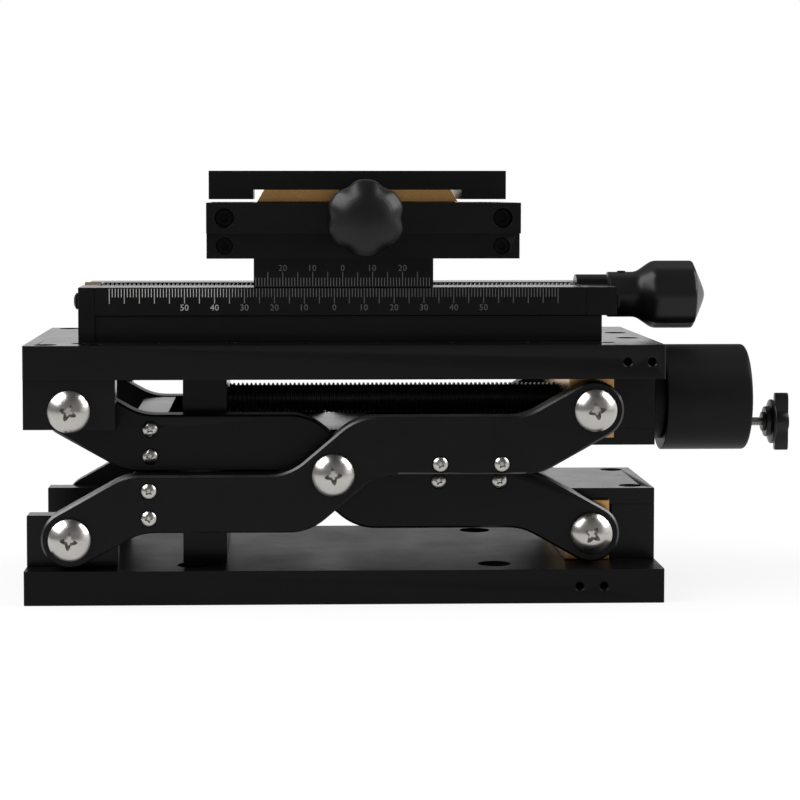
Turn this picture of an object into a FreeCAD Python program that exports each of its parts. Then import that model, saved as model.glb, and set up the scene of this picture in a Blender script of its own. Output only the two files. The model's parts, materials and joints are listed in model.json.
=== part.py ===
import FreeCAD, Part
import math
import os
import re
import Sketcher
from FreeCAD import Placement, Rotation, Vector

# Manual three-axis stage. A scissor lift moves in Z, a screw slide in X rides on its top
# plate, and a dovetail slide in Y rides on the X carriage.
# Frame: origin at the centre of the base plate's underside, X along the plates, Y from
# the scale side to the back, Z up. All sizes are millimetres.

SIZES = {
    # plates of the lift
    "plate_width": 100,
    "plate_thick": 11.2,
    "closed_height": 85,
    "plate_edge": 0.5,
    # scissor arms, measured from the centre pivot
    "pivot_inset": 15,
    "plate_end_room": 23,
    "half_span": 86,
    "pivot_height": 10.3,
    "arm_width": 19,
    "arm_thick": 8.8,
    "arm_recess": 1,
    "arm_gap": 0.4,
    "arm_offset": 9.5,
    "bend_in": 11.2,
    "bend_out": 65.5,
    "bend_round": 18,
    "arm_edge": 0.7,
    # pivot screws and arm screws
    "pivot_shank": 8,
    "pivot_head": 13.8,
    "pivot_head_height": 5,
    "pivot_bite": 12,
    "small_shank": 3,
    "small_head": 4.9,
    "small_head_height": 2,
    "small_seat": 5.6,
    "small_seat_depth": 0.8,
    "small_bite": 12,
    # cap screws that hold blocks, plates and slides
    "cap_shank": 4,
    "cap_head": 7,
    "cap_head_height": 4,
    "cap_seat": 7.6,
    "cap_seat_depth": 4.4,
    "cap_bite": 8,
    # clearances
    "running": 0.05,
    "sliding": 0.1,
    "head_gap": 0.1,
    "free_gap": 0.3,
    # spreaders and centre block
    "left_screw_x": 60.2,
    "left_screw_low": 5.2,
    "left_screw_high": 14.2,
    "left_spreader": 11,
    "right_screw_near": 35.2,
    "right_screw_far": 55.4,
    "right_screw_z": 3.3,
    "right_plate_length": 30,
    "right_plate_thick": 6.3,
    "spreader_gap": 0.3,
    "centre_block_length": 29,
    "centre_block_height": 26,
    # pivot blocks
    "pivot_block_length": 30,
    "base_block_height": 17,
    "top_block_height": 16.3,
    "block_bolt_inset": 7,
    # slider guides at the screw end
    "guide_half_width": 28.5,
    "guide_block_length": 14.5,
    "guide_height": 24,
    "guide_cap_thick": 5.5,
    "guide_cap_length": 59,
    "guide_cap_screw_y": 22,
    "slider_length": 14.9,
    "slider_end_reach": 10,
    "slider_bolt_y": 14,
    # cross bars at the far end of the lift screw
    "bar_length": 14.7,
    "bar_half_width": 30,
    "bar_height": 21,
    "bar_from_centre": 42.4,
    "bar_bolt_y": 18,
    # lift screw, knob and crank
    "lift_screw_diameter": 10.4,
    "journal": 8,
    "bush_wall": 2,
    "bush_flange": 1,
    "bush_flange_thick": 1.5,
    "lift_hub_diameter": 29,
    "lift_hub_length": 6,
    "lift_knob_diameter": 36.7,
    "lift_knob_length": 30.1,
    "lift_knob_crown": 0.8,
    "lift_knob_flat": 18,
    "lift_knob_round": 1.2,
    "lift_knob_bore_depth": 16,
    "crank_radius": 8.8,
    "stud_diameter": 3,
    "stud_reach": 5.8,
    "stud_bite": 8,
    "crank_collar_diameter": 6.6,
    "crank_collar_length": 1,
    "crank_hub_diameter": 10.8,
    "crank_hub_length": 2,
    "crank_flare_diameter": 15.4,
    "crank_flare_length": 1,
    "crank_neck_diameter": 5.8,
    "crank_neck_length": 0.6,
    "crank_boss_diameter": 6.8,
    "crank_bar_width": 3.4,
    "crank_bar_length": 20,
    "crank_bar_thick": 4.6,
    # top and base plate holes
    "grid_pitch": 25,
    "grid_row": 37.5,
    "grid_hole": 5,
    "mount_spacing_x": 100,
    "mount_spacing_y": 75,
    "mount_hole": 6.6,
    "mount_seat": 11,
    "mount_seat_depth": 6.5,
    "front_hole": 2.5,
    "front_hole_depth": 8,
    "front_hole_gap": 8,
    "base_front_hole_inset": 27.9,
    "top_front_hole_inset": 12.5,
    # X slide
    "x_width": 60,
    "x_floor_inset": 0.5,
    "x_left_inset": 22,
    "x_right_inset": 23.5,
    "x_floor_reach": 5.3,
    "x_floor_thick": 8.6,
    "x_rail_height": 9.5,
    "x_slot": 26,
    "dovetail_angle": 30,
    "x_end_left_thick": 5.5,
    "x_end_right_thick": 10.3,
    "x_boss_diameter": 14,
    "x_boss_length": 10.7,
    "x_screw_diameter": 8,
    "x_screw_drop": 3.8,
    "x_journal": 6,
    "x_bush_wall": 1.5,
    "x_bolt_x": 50,
    "x_bolt_y": 24,
    "x_end_screw_y": 24,
    "x_end_screw_head": 5.5,
    "x_end_screw_head_height": 2,
    "x_knob_gap": 0.5,
    "x_neck_diameter": 15.7,
    "x_neck_length": 9.9,
    "x_cone_length": 5.6,
    "x_knob_diameter": 23.5,
    "x_knob_length": 14,
    "x_knob_crown": 4.5,
    "x_knob_flat": 5,
    "x_knob_round": 1,
    "set_screw": 3,
    "set_screw_length": 5.2,
    "x_flutes": 8,
    "x_flute_diameter": 9,
    "x_flute_depth": 0.9,
    # X carriage
    "carriage_length": 60,
    "carriage_thick": 9.6,
    "keel_floor_gap": 0.4,
    "gib_thick": 2,
    "nut_length": 14,
    "nut_width": 14,
    "nut_crown": 3,
    # Y slide, placed from its own centre line
    "y_centre_x": 6.45,
    "y_length": 104.1,
    "y_width": 60,
    "adapter_width": 68,
    "adapter_thick": 8.4,
    "y_body_thick": 10.2,
    "y_front_thick": 8,
    "y_dovetail_depth": 5.5,
    "y_dovetail_mouth": 67.5,
    "y_screw_drop": 5,
    "y_screw_diameter": 6,
    "y_nut_width": 16,
    "y_nut_length": 20,
    "y_travel": 12.5,
    "y_slot_gap": 0.8,
    "y_nut_floor_gap": 0.5,
    "y_groove_gap": 1,
    "table_length": 99.2,
    "table_offset": -1.8,
    "table_thick": 9.5,
    "table_lift": 1.1,
    "table_channel": 69.5,
    "table_channel_depth": 3.2,
    "table_bolt_x": 20,
    "table_bolt_y": 12,
    "table_hole_x": 40,
    "table_hole_y": 20,
    "adapter_bolt": 20,
    "y_body_bolt_x": 42,
    "y_body_bolt_y": 16,
    "y_end_screw_inset": 6,
    "y_end_screw_head": 5.5,
    "y_end_screw_seat": 6.5,
    "y_end_screw_sink": 5.5,
    "y_end_screw_shank": 3,
    "y_end_screw_bite": 8,
    "adapter_screw_seat": 5.6,
    "adapter_screw_head": 5,
    "adapter_screw_drop": 4.2,
    "adapter_screw_sink": 3.6,
    "y_knob_stand": 10,
    "y_knob_hub": 14,
    "y_knob_length": 14,
    "y_knob_diameter": 25.3,
    "y_knob_crown": 4,
    "y_knob_flat": 13,
    "y_knob_round": 3.5,
    "y_knob_lobes": 6,
    "y_knob_scallop": 16,
    "y_knob_scallop_depth": 1.2,
}

PLACES = {
    # heights of the lift at its lowest
    "base_top": "plate_thick",
    "top_low": "closed_height - plate_thick",
    "top_high": "closed_height",
    "pivot_low": "plate_thick + pivot_height",
    "pivot_high": "closed_height - plate_thick - pivot_height",
    "centre_z": "closed_height / 2",
    "half_rise": "centre_z - pivot_low",
    # places along the lift
    "plate_length": "pivot_inset + 2 * half_span + plate_end_room",
    "plate_end": "plate_length / 2",
    "pivot_left": "pivot_inset - plate_length / 2",
    "centre_x": "pivot_inset - plate_length / 2 + half_span",
    "pivot_right": "centre_x + half_span",
    "guide_left": "plate_end - guide_block_length",
    "bar_x": "centre_x - bar_from_centre",
    # layers across the lift
    "outer_face": "plate_width / 2 - arm_recess",
    "outer_inside": "outer_face - arm_thick",
    "inner_face": "outer_inside - arm_gap",
    "inner_inside": "inner_face - arm_thick",
    "slider_face": "inner_inside - arm_gap",
    # corners of an arm's outline
    "end_slope": "atan((half_rise - arm_offset) / (half_span - bend_out))",
    "corner_in": "arm_width / 2 * tan(atan(arm_offset / bend_in) / 2)",
    "corner_out": "arm_width / 2 * tan(end_slope / 2)",
    "end_run": "arm_width / 2 * sin(end_slope)",
    "end_rise": "arm_width / 2 * cos(end_slope)",
    "pivot_bore": "pivot_shank + 2 * running",
    # X slide
    "x_left": "x_left_inset - plate_end",
    "x_right": "plate_end - x_right_inset",
    "x_floor_right": "x_right + x_floor_reach",
    "x_floor_top": "top_high + x_floor_thick",
    "x_rail_top": "x_floor_top + x_rail_height",
    "x_screw_z": "x_rail_top - x_screw_drop",
    "x_undercut": "x_rail_height * tan(dovetail_angle * 1 deg)",
    "keel_low": "x_floor_top + keel_floor_gap",
    "keel_spread": "(x_rail_top - keel_low) * tan(dovetail_angle * 1 deg)",
    "gib_across": "gib_thick / cos(dovetail_angle * 1 deg)",
    "slide_across": "sliding / cos(dovetail_angle * 1 deg)",
    "carriage_low": "x_rail_top + sliding",
    "carriage_high": "carriage_low + carriage_thick",
    "x_knob_left": "x_right + x_boss_length + x_knob_gap",
    "x_knob_body": "x_knob_left + x_neck_length + x_cone_length",
    # Y slide
    "y_left": "y_centre_x - y_length / 2",
    "y_right": "y_centre_x + y_length / 2",
    "adapter_high": "carriage_high + adapter_thick",
    "y_body_high": "adapter_high + y_body_thick",
    "y_screw_z": "y_body_high - y_screw_drop",
    "y_floor": "y_body_high - y_dovetail_depth",
    "y_undercut": "y_dovetail_depth * tan(dovetail_angle * 1 deg)",
    "table_low": "y_body_high + table_lift",
    "table_high": "table_low + table_thick",
    "slide_high": "table_low + table_channel_depth",
    "slide_low": "y_floor + free_gap",
    "slide_narrow": "(slide_high - y_body_high) * tan(dovetail_angle * 1 deg)",
    "slide_spread": "(y_body_high - slide_low) * tan(dovetail_angle * 1 deg)",
    "table_centre_x": "y_centre_x + table_offset",
    "y_front": "y_width / 2 + y_front_thick",
    # lift knob
    "lift_hub_left": "plate_end + free_gap",
    "lift_knob_left": "lift_hub_left + lift_hub_length",
    "lift_knob_right": "lift_knob_left + lift_knob_length",
    "crank_z": "pivot_high - crank_radius",
    "crank_left": "lift_knob_right + stud_reach",
    "crank_bar_left": "crank_left + crank_collar_length + crank_hub_length"
                      " + crank_flare_length + crank_neck_length",
}

# rows of holes in the top plate, in steps of the grid's pitch either side of the middle
GRID_STEPS = (0.5, 1.5, 2.5, 3.5)
# recesses as shares of a screw head's diameter and height
CROSS_SPAN = 0.56
CROSS_SLOT = 0.13
CROSS_DEPTH = 0.45
HEX_REACH = 0.29
HEX_DEPTH = 0.5
# crowns as shares of a head's height
PIVOT_DOME = 0.62
SMALL_DOME = 0.5

WORD = re.compile(r"[a-z][a-z_]+")

doc = FreeCAD.newDocument("three_axis_stage")
sizes = doc.addObject("Spreadsheet::Sheet", "sizes")
places = doc.addObject("Spreadsheet::Sheet", "places")
parts = {}


def linked(text):
    """Point each size word of an expression at the sheet that holds it."""
    def swap(found):
        word = found.group()
        if word in SIZES:
            return "sizes." + word
        if word in PLACES:
            return "places." + word
        return word
    return WORD.sub(swap, text)


def fill_sheets():
    """Write the driving sizes as plain numbers and the worked-out places as formulas."""
    for row, (name, number) in enumerate(SIZES.items(), 1):
        sizes.set("A%d" % row, name)
        sizes.set("B%d" % row, str(number))
        sizes.setAlias("B%d" % row, name)
    doc.recompute()
    for row, (name, formula) in enumerate(PLACES.items(), 1):
        places.set("A%d" % row, name)
        places.setAlias("B%d" % row, name)
        places.set("B%d" % row, "=" + linked(formula).replace("places.", ""))
    doc.recompute()


def size(name):
    """A number from either sheet."""
    sheet = sizes if name in SIZES else places
    number = getattr(sheet, name)
    return float(getattr(number, "Value", number))


# ---------------------------------------------------------------- building blocks

ALONG = {
    "x": Rotation(Vector(0, 0, 1), Vector(1, 0, 0)),
    "y": Rotation(Vector(0, 0, 1), Vector(0, 1, 0)),
    "z": Rotation(),
}


def bind(thing, path, text):
    thing.setExpression(path, linked(text))


def keep(label, thing):
    """Name a finished piece of the stage."""
    thing.Label = label
    parts[label] = thing
    return thing


def box(low, high):
    """A block between two corners, each a triple of expressions."""
    solid = doc.addObject("Part::Box", "block")
    for side, axis, near, far in zip(("Length", "Width", "Height"), "xyz", low, high):
        bind(solid, side, "(%s) - (%s)" % (far, near))
        bind(solid, "Placement.Base." + axis, near)
    return solid


def rod(axis, start, length, diameter):
    """A cylinder that runs from start along +axis."""
    solid = doc.addObject("Part::Cylinder", "rod")
    solid.Placement = Placement(Vector(), ALONG[axis])
    bind(solid, "Radius", "(%s) / 2" % diameter)
    bind(solid, "Height", length)
    for letter, place in zip("xyz", start):
        bind(solid, "Placement.Base." + letter, place)
    return solid


def join(solids):
    """Several solids made one."""
    if len(solids) == 1:
        return solids[0]
    fused = doc.addObject("Part::MultiFuse", "joined")
    fused.Shapes = solids
    fused.Refine = True
    return fused


def cut(base, tools):
    """A solid with the tools taken away."""
    result = doc.addObject("Part::Cut", "cut")
    result.Base = base
    result.Tool = join(tools)
    result.Refine = True
    return result


def group(solids):
    """Like pieces that share one node as separate solids."""
    together = doc.addObject("Part::Compound", "group")
    together.Links = solids
    return together


def break_edges(base, amount, wanted):
    """A small chamfer on the edges that pass the test."""
    doc.recompute()
    bevel = doc.addObject("Part::Chamfer", "bevel")
    bevel.Base = base
    numbers = [i for i, edge in enumerate(base.Shape.Edges, 1) if wanted(edge)]
    bevel.Edges = [(i, size(amount), size(amount)) for i in numbers]
    return bevel


def new_body(label, at, turn=Rotation()):
    """An empty PartDesign body placed by three expressions."""
    body = doc.addObject("PartDesign::Body", label)
    body.Placement = Placement(Vector(), turn)
    for letter, place in zip("xyz", at):
        bind(body, "Placement.Base." + letter, place)
    return body


def new_sketch(body, role, offset=None):
    """A sketch on one of the body's own origin planes, or a bound distance off it."""
    sketch = body.newObject("Sketcher::SketchObject", "sketch")
    plane = next(item for item in body.Origin.OriginFeatures if item.Role == role)
    sketch.AttachmentSupport = [(plane, "")]
    sketch.MapMode = "FlatFace"
    if offset:
        bind(sketch, "AttachmentOffset.Base.z", offset)
    return sketch


def pin_point(sketch, element, corner, place):
    """Hold one point of a sketch at a bound distance from the sketch's origin."""
    for kind, text in zip(("DistanceX", "DistanceY"), place):
        number = sketch.addConstraint(Sketcher.Constraint(kind, -1, 1, element, corner, 1.0))
        bind(sketch, "Constraints[%d]" % number, text)


def add_outline(sketch, points):
    """A closed run of straight lines through points given as expressions."""
    first = sketch.GeometryCount
    count = len(points)
    spots = [Vector(math.cos(2 * math.pi * i / count), math.sin(2 * math.pi * i / count), 0)
             for i in range(count)]
    for i in range(count):
        sketch.addGeometry(Part.LineSegment(spots[i], spots[(i + 1) % count]), False)
    for i in range(count):
        after = first + (i + 1) % count
        sketch.addConstraint(Sketcher.Constraint("Coincident", first + i, 2, after, 1))
        pin_point(sketch, first + i, 1, points[i])


def add_circle(sketch, centre, diameter):
    """A circle with a bound centre and diameter."""
    element = sketch.addGeometry(Part.Circle(Vector(1, 1, 0), Vector(0, 0, 1), 1), False)
    pin_point(sketch, element, 3, centre)
    number = sketch.addConstraint(Sketcher.Constraint("Diameter", element, 2.0))
    bind(sketch, "Constraints[%d]" % number, diameter)


def add_pad(body, sketch, length):
    """Pad a sketch along its own normal."""
    doc.recompute()
    pad = body.newObject("PartDesign::Pad", "pad")
    pad.Profile = sketch
    bind(pad, "Length", length)
    doc.recompute()
    return pad


def add_through_cut(body, sketch):
    """Pocket a sketch right through the body, both ways."""
    before = body.Shape.Volume
    pocket = body.newObject("PartDesign::Pocket", "through")
    pocket.Profile = sketch
    pocket.Type = "ThroughAll"
    pocket.Midplane = True
    doc.recompute()
    if body.Shape.Volume >= before:
        raise RuntimeError(body.Label + ": a through cut removed nothing")
    return pocket


def add_pocket(body, sketch, depth, backwards=False):
    """Pocket a sketch to a bound depth, against the sketch's normal unless backwards."""
    before = body.Shape.Volume
    pocket = body.newObject("PartDesign::Pocket", "pocket")
    pocket.Profile = sketch
    pocket.Reversed = backwards
    bind(pocket, "Length", depth)
    doc.recompute()
    if body.Shape.Volume >= before:
        raise RuntimeError(body.Label + ": a pocket removed nothing")
    return pocket


def add_round(body, feature, amount, wanted, kind="PartDesign::Fillet"):
    """Round or bevel the edges of a feature that pass the test."""
    names = ["Edge%d" % i for i, edge in enumerate(feature.Shape.Edges, 1) if wanted(edge)]
    finish = body.newObject(kind, "finish")
    finish.Base = (feature, names)
    bind(finish, "Radius" if kind.endswith("Fillet") else "Size", amount)
    doc.recompute()
    return finish


def prism(label, role, at, points, length):
    """A body with one padded outline."""
    body = new_body(label, at)
    sketch = new_sketch(body, role)
    add_outline(sketch, points)
    add_pad(body, sketch, length)
    return body


def turned(label, at, profile, turn=Rotation()):
    """A body turned about its own X axis from (x, radius) points."""
    body = new_body(label, at, turn)
    sketch = new_sketch(body, "XZ_Plane")
    add_outline(sketch, profile)
    doc.recompute()
    spin = body.newObject("PartDesign::Revolution", "turning")
    spin.Profile = sketch
    spin.ReferenceAxis = (sketch, ["H_Axis"])
    spin.Angle = 360
    doc.recompute()
    return body


def runs_along(edge, axis):
    """True for a straight edge parallel to an axis."""
    if edge.Curve.TypeId != "Part::GeomLine":
        return False
    return abs(abs(edge.Curve.Direction.dot(axis)) - 1) < 1e-6


# ---------------------------------------------------------------- fasteners


def circle_past(x):
    """A test for the round edges from a place onward along a turned body."""
    def wanted(edge):
        return edge.Curve.TypeId == "Part::GeomCircle" and edge.Curve.Center.x > x - 1e-6

    return wanted


def screw_shape(head, head_height, shank, reach, dome, drive):
    """A screw with its head above z = 0 and its shank below.

    dome is how far the head's top is crowned. drive is "cross" or "hex"."""
    solid = Part.makeCylinder(head / 2, head_height)
    if dome:
        ball = ((head / 2) ** 2 + dome ** 2) / (2 * dome)
        solid = solid.common(Part.makeSphere(ball, Vector(0, 0, head_height - ball)))
    solid = solid.fuse(Part.makeCylinder(shank / 2, reach, Vector(0, 0, -reach)))
    if drive == "cross":
        span = CROSS_SPAN * head
        slot = CROSS_SLOT * head
        depth = CROSS_DEPTH * head_height
        for long_side, short_side in ((span, slot), (slot, span)):
            corner = Vector(-long_side / 2, -short_side / 2, head_height - depth)
            solid = solid.cut(Part.makeBox(long_side, short_side, head_height, corner))
    else:
        reach_across = HEX_REACH * head
        corners = [Vector(reach_across * math.cos(math.radians(60 * i)),
                          reach_across * math.sin(math.radians(60 * i)),
                          head_height * (1 - HEX_DEPTH)) for i in range(7)]
        socket = Part.Face(Part.makePolygon(corners)).extrude(Vector(0, 0, head_height))
        solid = solid.cut(socket)
    return solid.removeSplitter()


def screw_group(label, sets):
    """One node of like screws. Each set is a screw and its seats, and each seat is a
    place (x, y, z) and the way the head points."""
    copies = []
    for shape, seats in sets:
        for place, towards in seats:
            copy = shape.copy()
            copy.Placement = Placement(Vector(*place), Rotation(Vector(0, 0, 1), Vector(*towards)))
            copies.append(copy)
    together = doc.addObject("Part::Feature", label)
    together.Shape = Part.makeCompound(copies)
    return keep(label, together)


def pivot_screw(reach):
    return screw_shape(size("pivot_head"), size("pivot_head_height"), size("pivot_shank"),
                       reach, size("pivot_head_height") * PIVOT_DOME, "cross")


def cap_screw(reach):
    return screw_shape(size("cap_head"), size("cap_head_height"), size("cap_shank"),
                       reach, 0, "hex")


def both_sides(x, y, z):
    """Seats at the front and the back, heads outwards."""
    return [((x, -y, z), (0, -1, 0)), ((x, y, z), (0, 1, 0))]


def four_corners(x, y, z, towards, centre_x=0):
    """Seats at the corners of a rectangle."""
    return [((centre_x + i * x, j * y, z), towards) for i in (-1, 1) for j in (-1, 1)]


def bolt_holes(spots, low, high, seat_low, seat_high):
    """Plain holes and head seats for cap screws that stand along Z."""
    tools = []
    for x, y in spots:
        tools.append(rod("z", (x, y, low), "(%s) - (%s)" % (high, low), "cap_shank"))
        tools.append(rod("z", (x, y, seat_low), "(%s) - (%s)" % (seat_high, seat_low), "cap_seat"))
    return tools


# ---------------------------------------------------------------- scissor lift


def plate(label, low, high, tools):
    """One of the two flat plates, with its long outer edges broken."""
    blank = box(("-plate_end", "-plate_width / 2", low), ("plate_end", "plate_width / 2", high))
    rim = break_edges(blank, "plate_edge", lambda edge: runs_along(edge, Vector(0, 0, 1)))
    return keep(label, cut(rim, tools))


BLOCK_BOLTS = ["pivot_left - pivot_block_length / 2 + block_bolt_inset",
               "pivot_left + pivot_block_length / 2 - block_bolt_inset"]
SIDES = ("-1", "1")


def bolt_spots(layer):
    """Bolts of the pivot blocks in one layer, the cross bar and the guide block."""
    spots = [(x, "%s * (%s)" % (side, layer)) for x in BLOCK_BOLTS for side in SIDES]
    spots += [("bar_x", side + " * bar_bolt_y") for side in SIDES]
    spots += [("plate_end - guide_block_length / 2", side + " * slider_bolt_y") for side in SIDES]
    return spots


def bolt_seats(layer, z, towards):
    """The same places as numbers, for the screws themselves."""
    inset = size("pivot_block_length") / 2 - size("block_bolt_inset")
    spots = [(size("pivot_left") + i * inset, j * layer) for i in (-1, 1) for j in (-1, 1)]
    spots += [(size("bar_x"), j * size("bar_bolt_y")) for j in (-1, 1)]
    guide_x = size("plate_end") - size("guide_block_length") / 2
    spots += [(guide_x, j * size("slider_bolt_y")) for j in (-1, 1)]
    return [((x, y, z), towards) for x, y in spots]


def front_holes(first_x, z):
    """Two small blind holes with a broken mouth in a plate's front face."""
    tools = []
    for x in (first_x, first_x + " + front_hole_gap"):
        tools.append(rod("y", (x, "-plate_width / 2", z), "front_hole_depth", "front_hole"))
        mouth = doc.addObject("Part::Cone", "mouth")
        mouth.Placement = Placement(Vector(), ALONG["y"])
        bind(mouth, "Radius1", "front_hole / 2 + plate_edge")
        bind(mouth, "Radius2", "front_hole / 2")
        bind(mouth, "Height", "plate_edge")
        for letter, place in zip("xyz", (x, "-plate_width / 2", z)):
            bind(mouth, "Placement.Base." + letter, place)
        tools.append(mouth)
    return tools


def make_base():
    """Base plate, its pivot blocks, cross bar, slider guide and their screws."""
    inner_layer = "(inner_face + inner_inside) / 2"
    tools = bolt_holes(bolt_spots(inner_layer), "0", "base_top", "0", "cap_seat_depth")
    for x in SIDES:
        for y in SIDES:
            spot = (x + " * mount_spacing_x / 2", y + " * mount_spacing_y / 2")
            tools.append(rod("z", spot + ("0",), "plate_thick", "mount_hole"))
            seat_z = "plate_thick - mount_seat_depth"
            tools.append(rod("z", spot + (seat_z,), "mount_seat_depth", "mount_seat"))
    tools += front_holes("plate_end - base_front_hole_inset", "plate_thick / 2")
    plate("base_plate", "0", "base_top", tools)

    blocks = []
    for y in SIDES:
        near = "inner_inside" if y == "1" else "-inner_face"
        far = "inner_face" if y == "1" else "-inner_inside"
        blank = box(("pivot_left - pivot_block_length / 2", near, "base_top"),
                    ("pivot_left + pivot_block_length / 2", far, "base_top + base_block_height"))
        holes = [rod("y", ("pivot_left", near, "pivot_low"), "arm_thick", "pivot_shank")]
        holes += [rod("z", (x, y + " * (%s)" % inner_layer, "base_top"), "cap_bite", "cap_shank")
                  for x in BLOCK_BOLTS]
        blocks.append(cut(blank, holes))
    keep("base_pivot_blocks", group(blocks))

    gap = size("head_gap")
    reach = size("outer_face") + gap - size("inner_inside")
    seats = both_sides(size("pivot_left"), size("outer_face") + gap, size("pivot_low"))
    screw_group("base_pivot_screws", [(pivot_screw(reach), seats)])

    bar = box(("bar_x - bar_length / 2", "-bar_half_width", "base_top"),
              ("bar_x + bar_length / 2", "bar_half_width", "base_top + bar_height"))
    holes = [rod("z", ("bar_x", y + " * bar_bolt_y", "base_top"), "cap_bite", "cap_shank")
             for y in SIDES]
    keep("base_cross_bar", cut(bar, holes))

    make_guide("base", "base_top", 1)
    depth = size("cap_seat_depth")
    seats = bolt_seats((size("inner_face") + size("inner_inside")) / 2, depth, (0, 0, -1))
    bolt = cap_screw(size("plate_thick") - depth + size("cap_bite"))
    screw_group("base_cap_screws", [(bolt, seats), guide_cap_screws("base_top", 1)])


def make_guide(side, face, up):
    """End block and cap that keep a slider against a plate.

    up is 1 when the guide stands on the base plate and -1 when it hangs from the top."""
    def span(near, far):
        low = "%s + %s" % (face, near) if up == 1 else "%s - (%s)" % (face, far)
        high = "%s + %s" % (face, far) if up == 1 else "%s - (%s)" % (face, near)
        return low, high

    block_low, block_high = span("0", "guide_height - guide_cap_thick")
    blank = box(("guide_left", "-guide_half_width", block_low),
                ("plate_end", "guide_half_width", block_high))
    bolt_x = "plate_end - guide_block_length / 2"
    holes = []
    for y in SIDES:
        low = span("0", "cap_bite")[0]
        holes.append(rod("z", (bolt_x, y + " * slider_bolt_y", low), "cap_bite", "cap_shank"))
        low = span("guide_height - guide_cap_thick - cap_bite",
                   "guide_height - guide_cap_thick")[0]
        holes.append(rod("z", (bolt_x, y + " * guide_cap_screw_y", low), "cap_bite", "cap_shank"))
    if up == -1:
        holes.append(rod("x", ("guide_left", "0", "pivot_high"), "guide_block_length",
                         "journal + 2 * bush_wall"))
        flange = "journal + 2 * bush_wall + 2 * bush_flange"
        holes.append(rod("x", ("plate_end - bush_flange_thick", "0", "pivot_high"),
                         "bush_flange_thick", flange))
    keep(side + "_guide_block", cut(blank, holes))

    cap_low, cap_high = span("guide_height - guide_cap_thick", "guide_height")
    blank = box(("plate_end - guide_cap_length", "-guide_half_width", cap_low),
                ("plate_end", "guide_half_width", cap_high))
    holes = [rod("z", (bolt_x, y + " * guide_cap_screw_y", cap_low), "guide_cap_thick", "cap_shank")
             for y in SIDES]
    seat_low = cap_high + " - cap_seat_depth" if up == 1 else cap_low
    holes += [rod("z", (bolt_x, y + " * guide_cap_screw_y", seat_low), "cap_seat_depth", "cap_seat")
              for y in SIDES]
    keep(side + "_guide_cap", cut(blank, holes))


def guide_cap_screws(face, up):
    """The two screws that hold a guide's cap on its end block, and their seats."""
    under_head = size(face) + up * (size("guide_height") - size("cap_seat_depth"))
    reach = size("guide_cap_thick") - size("cap_seat_depth") + size("cap_bite")
    x = size("plate_end") - size("guide_block_length") / 2
    seats = [((x, y * size("guide_cap_screw_y"), under_head), (0, 0, up)) for y in (-1, 1)]
    return cap_screw(reach), seats


def arm_points(flip):
    """Outline of an arm about its centre pivot. flip is "1" or "-1" and mirrors it in Z."""
    half = [("bend_in - corner_in", "arm_offset + arm_width / 2"),
            ("bend_out - corner_out", "arm_offset + arm_width / 2"),
            ("half_span - end_run", "half_rise + end_rise"),
            ("half_span + end_run", "half_rise - end_rise"),
            ("bend_out + corner_out", "arm_offset - arm_width / 2"),
            ("bend_in + corner_in", "arm_offset - arm_width / 2")]
    points = [(x, "%s * (%s)" % (flip, z)) for x, z in half]
    points += [("-(%s)" % x, "-%s * (%s)" % (flip, z)) for x, z in half]
    return [(x, z.replace("--", "")) for x, z in points]


ARM_SCREWS = [("-left_screw_x", "-left_screw_low"), ("-left_screw_x", "-left_screw_high"),
              ("right_screw_near", "right_screw_z"), ("right_screw_far", "right_screw_z")]


def make_arm(label, rising, rear, inside, centre_bore):
    """One cranked arm with three pivot bores and four screw seats.

    rising is 1 when the arm climbs to the right. A rear arm is the same piece turned
    over about X, so its seats face outwards too."""
    flip = "1" if (rising == 1) != rear else "-1"
    turn = Rotation(Vector(1, 0, 0), 180) if rear else Rotation()
    body = new_body(label, ("centre_x", ("" if rear else "-") + inside, "centre_z"), turn)
    outline = new_sketch(body, "XZ_Plane")
    add_outline(outline, arm_points(flip))
    add_pad(body, outline, "arm_thick")
    corners = [line.StartPoint for i, line in enumerate(outline.Geometry) if i % 6 not in (2, 3)]

    ends = new_sketch(body, "XZ_Plane")
    add_circle(ends, ("half_span", flip + " * half_rise"), "arm_width")
    add_circle(ends, ("-half_span", "-1 * %s * half_rise" % flip), "arm_width")
    blank = add_pad(body, ends, "arm_thick")

    def at_bend(edge):
        if not runs_along(edge, Vector(0, 1, 0)):
            return False
        spot = edge.Vertexes[0].Point
        return any(abs(spot.x - p.x) + abs(spot.z - p.y) < 0.01 for p in corners)

    rounded = add_round(body, blank, "bend_round", at_bend)
    outer = -size("arm_thick")

    def on_outer_rim(edge):
        return all(abs(v.Point.y - outer) < 1e-6 for v in edge.Vertexes)

    add_round(body, rounded, "arm_edge", on_outer_rim, "PartDesign::Chamfer")

    bores = new_sketch(body, "XZ_Plane")
    add_circle(bores, ("half_span", flip + " * half_rise"), "pivot_bore")
    add_circle(bores, ("-half_span", "-1 * %s * half_rise" % flip), "pivot_bore")
    add_circle(bores, ("0", "0"), centre_bore)
    for x, z in ARM_SCREWS:
        add_circle(bores, (x, "%s * (%s)" % (flip, z)), "small_shank")
    add_through_cut(body, bores)

    seats = new_sketch(body, "XZ_Plane", "arm_thick")
    for x, z in ARM_SCREWS:
        add_circle(seats, (x, "%s * (%s)" % (flip, z)), "small_seat")
    add_pocket(body, seats, "small_seat_depth")
    return keep(label, body)


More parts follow.
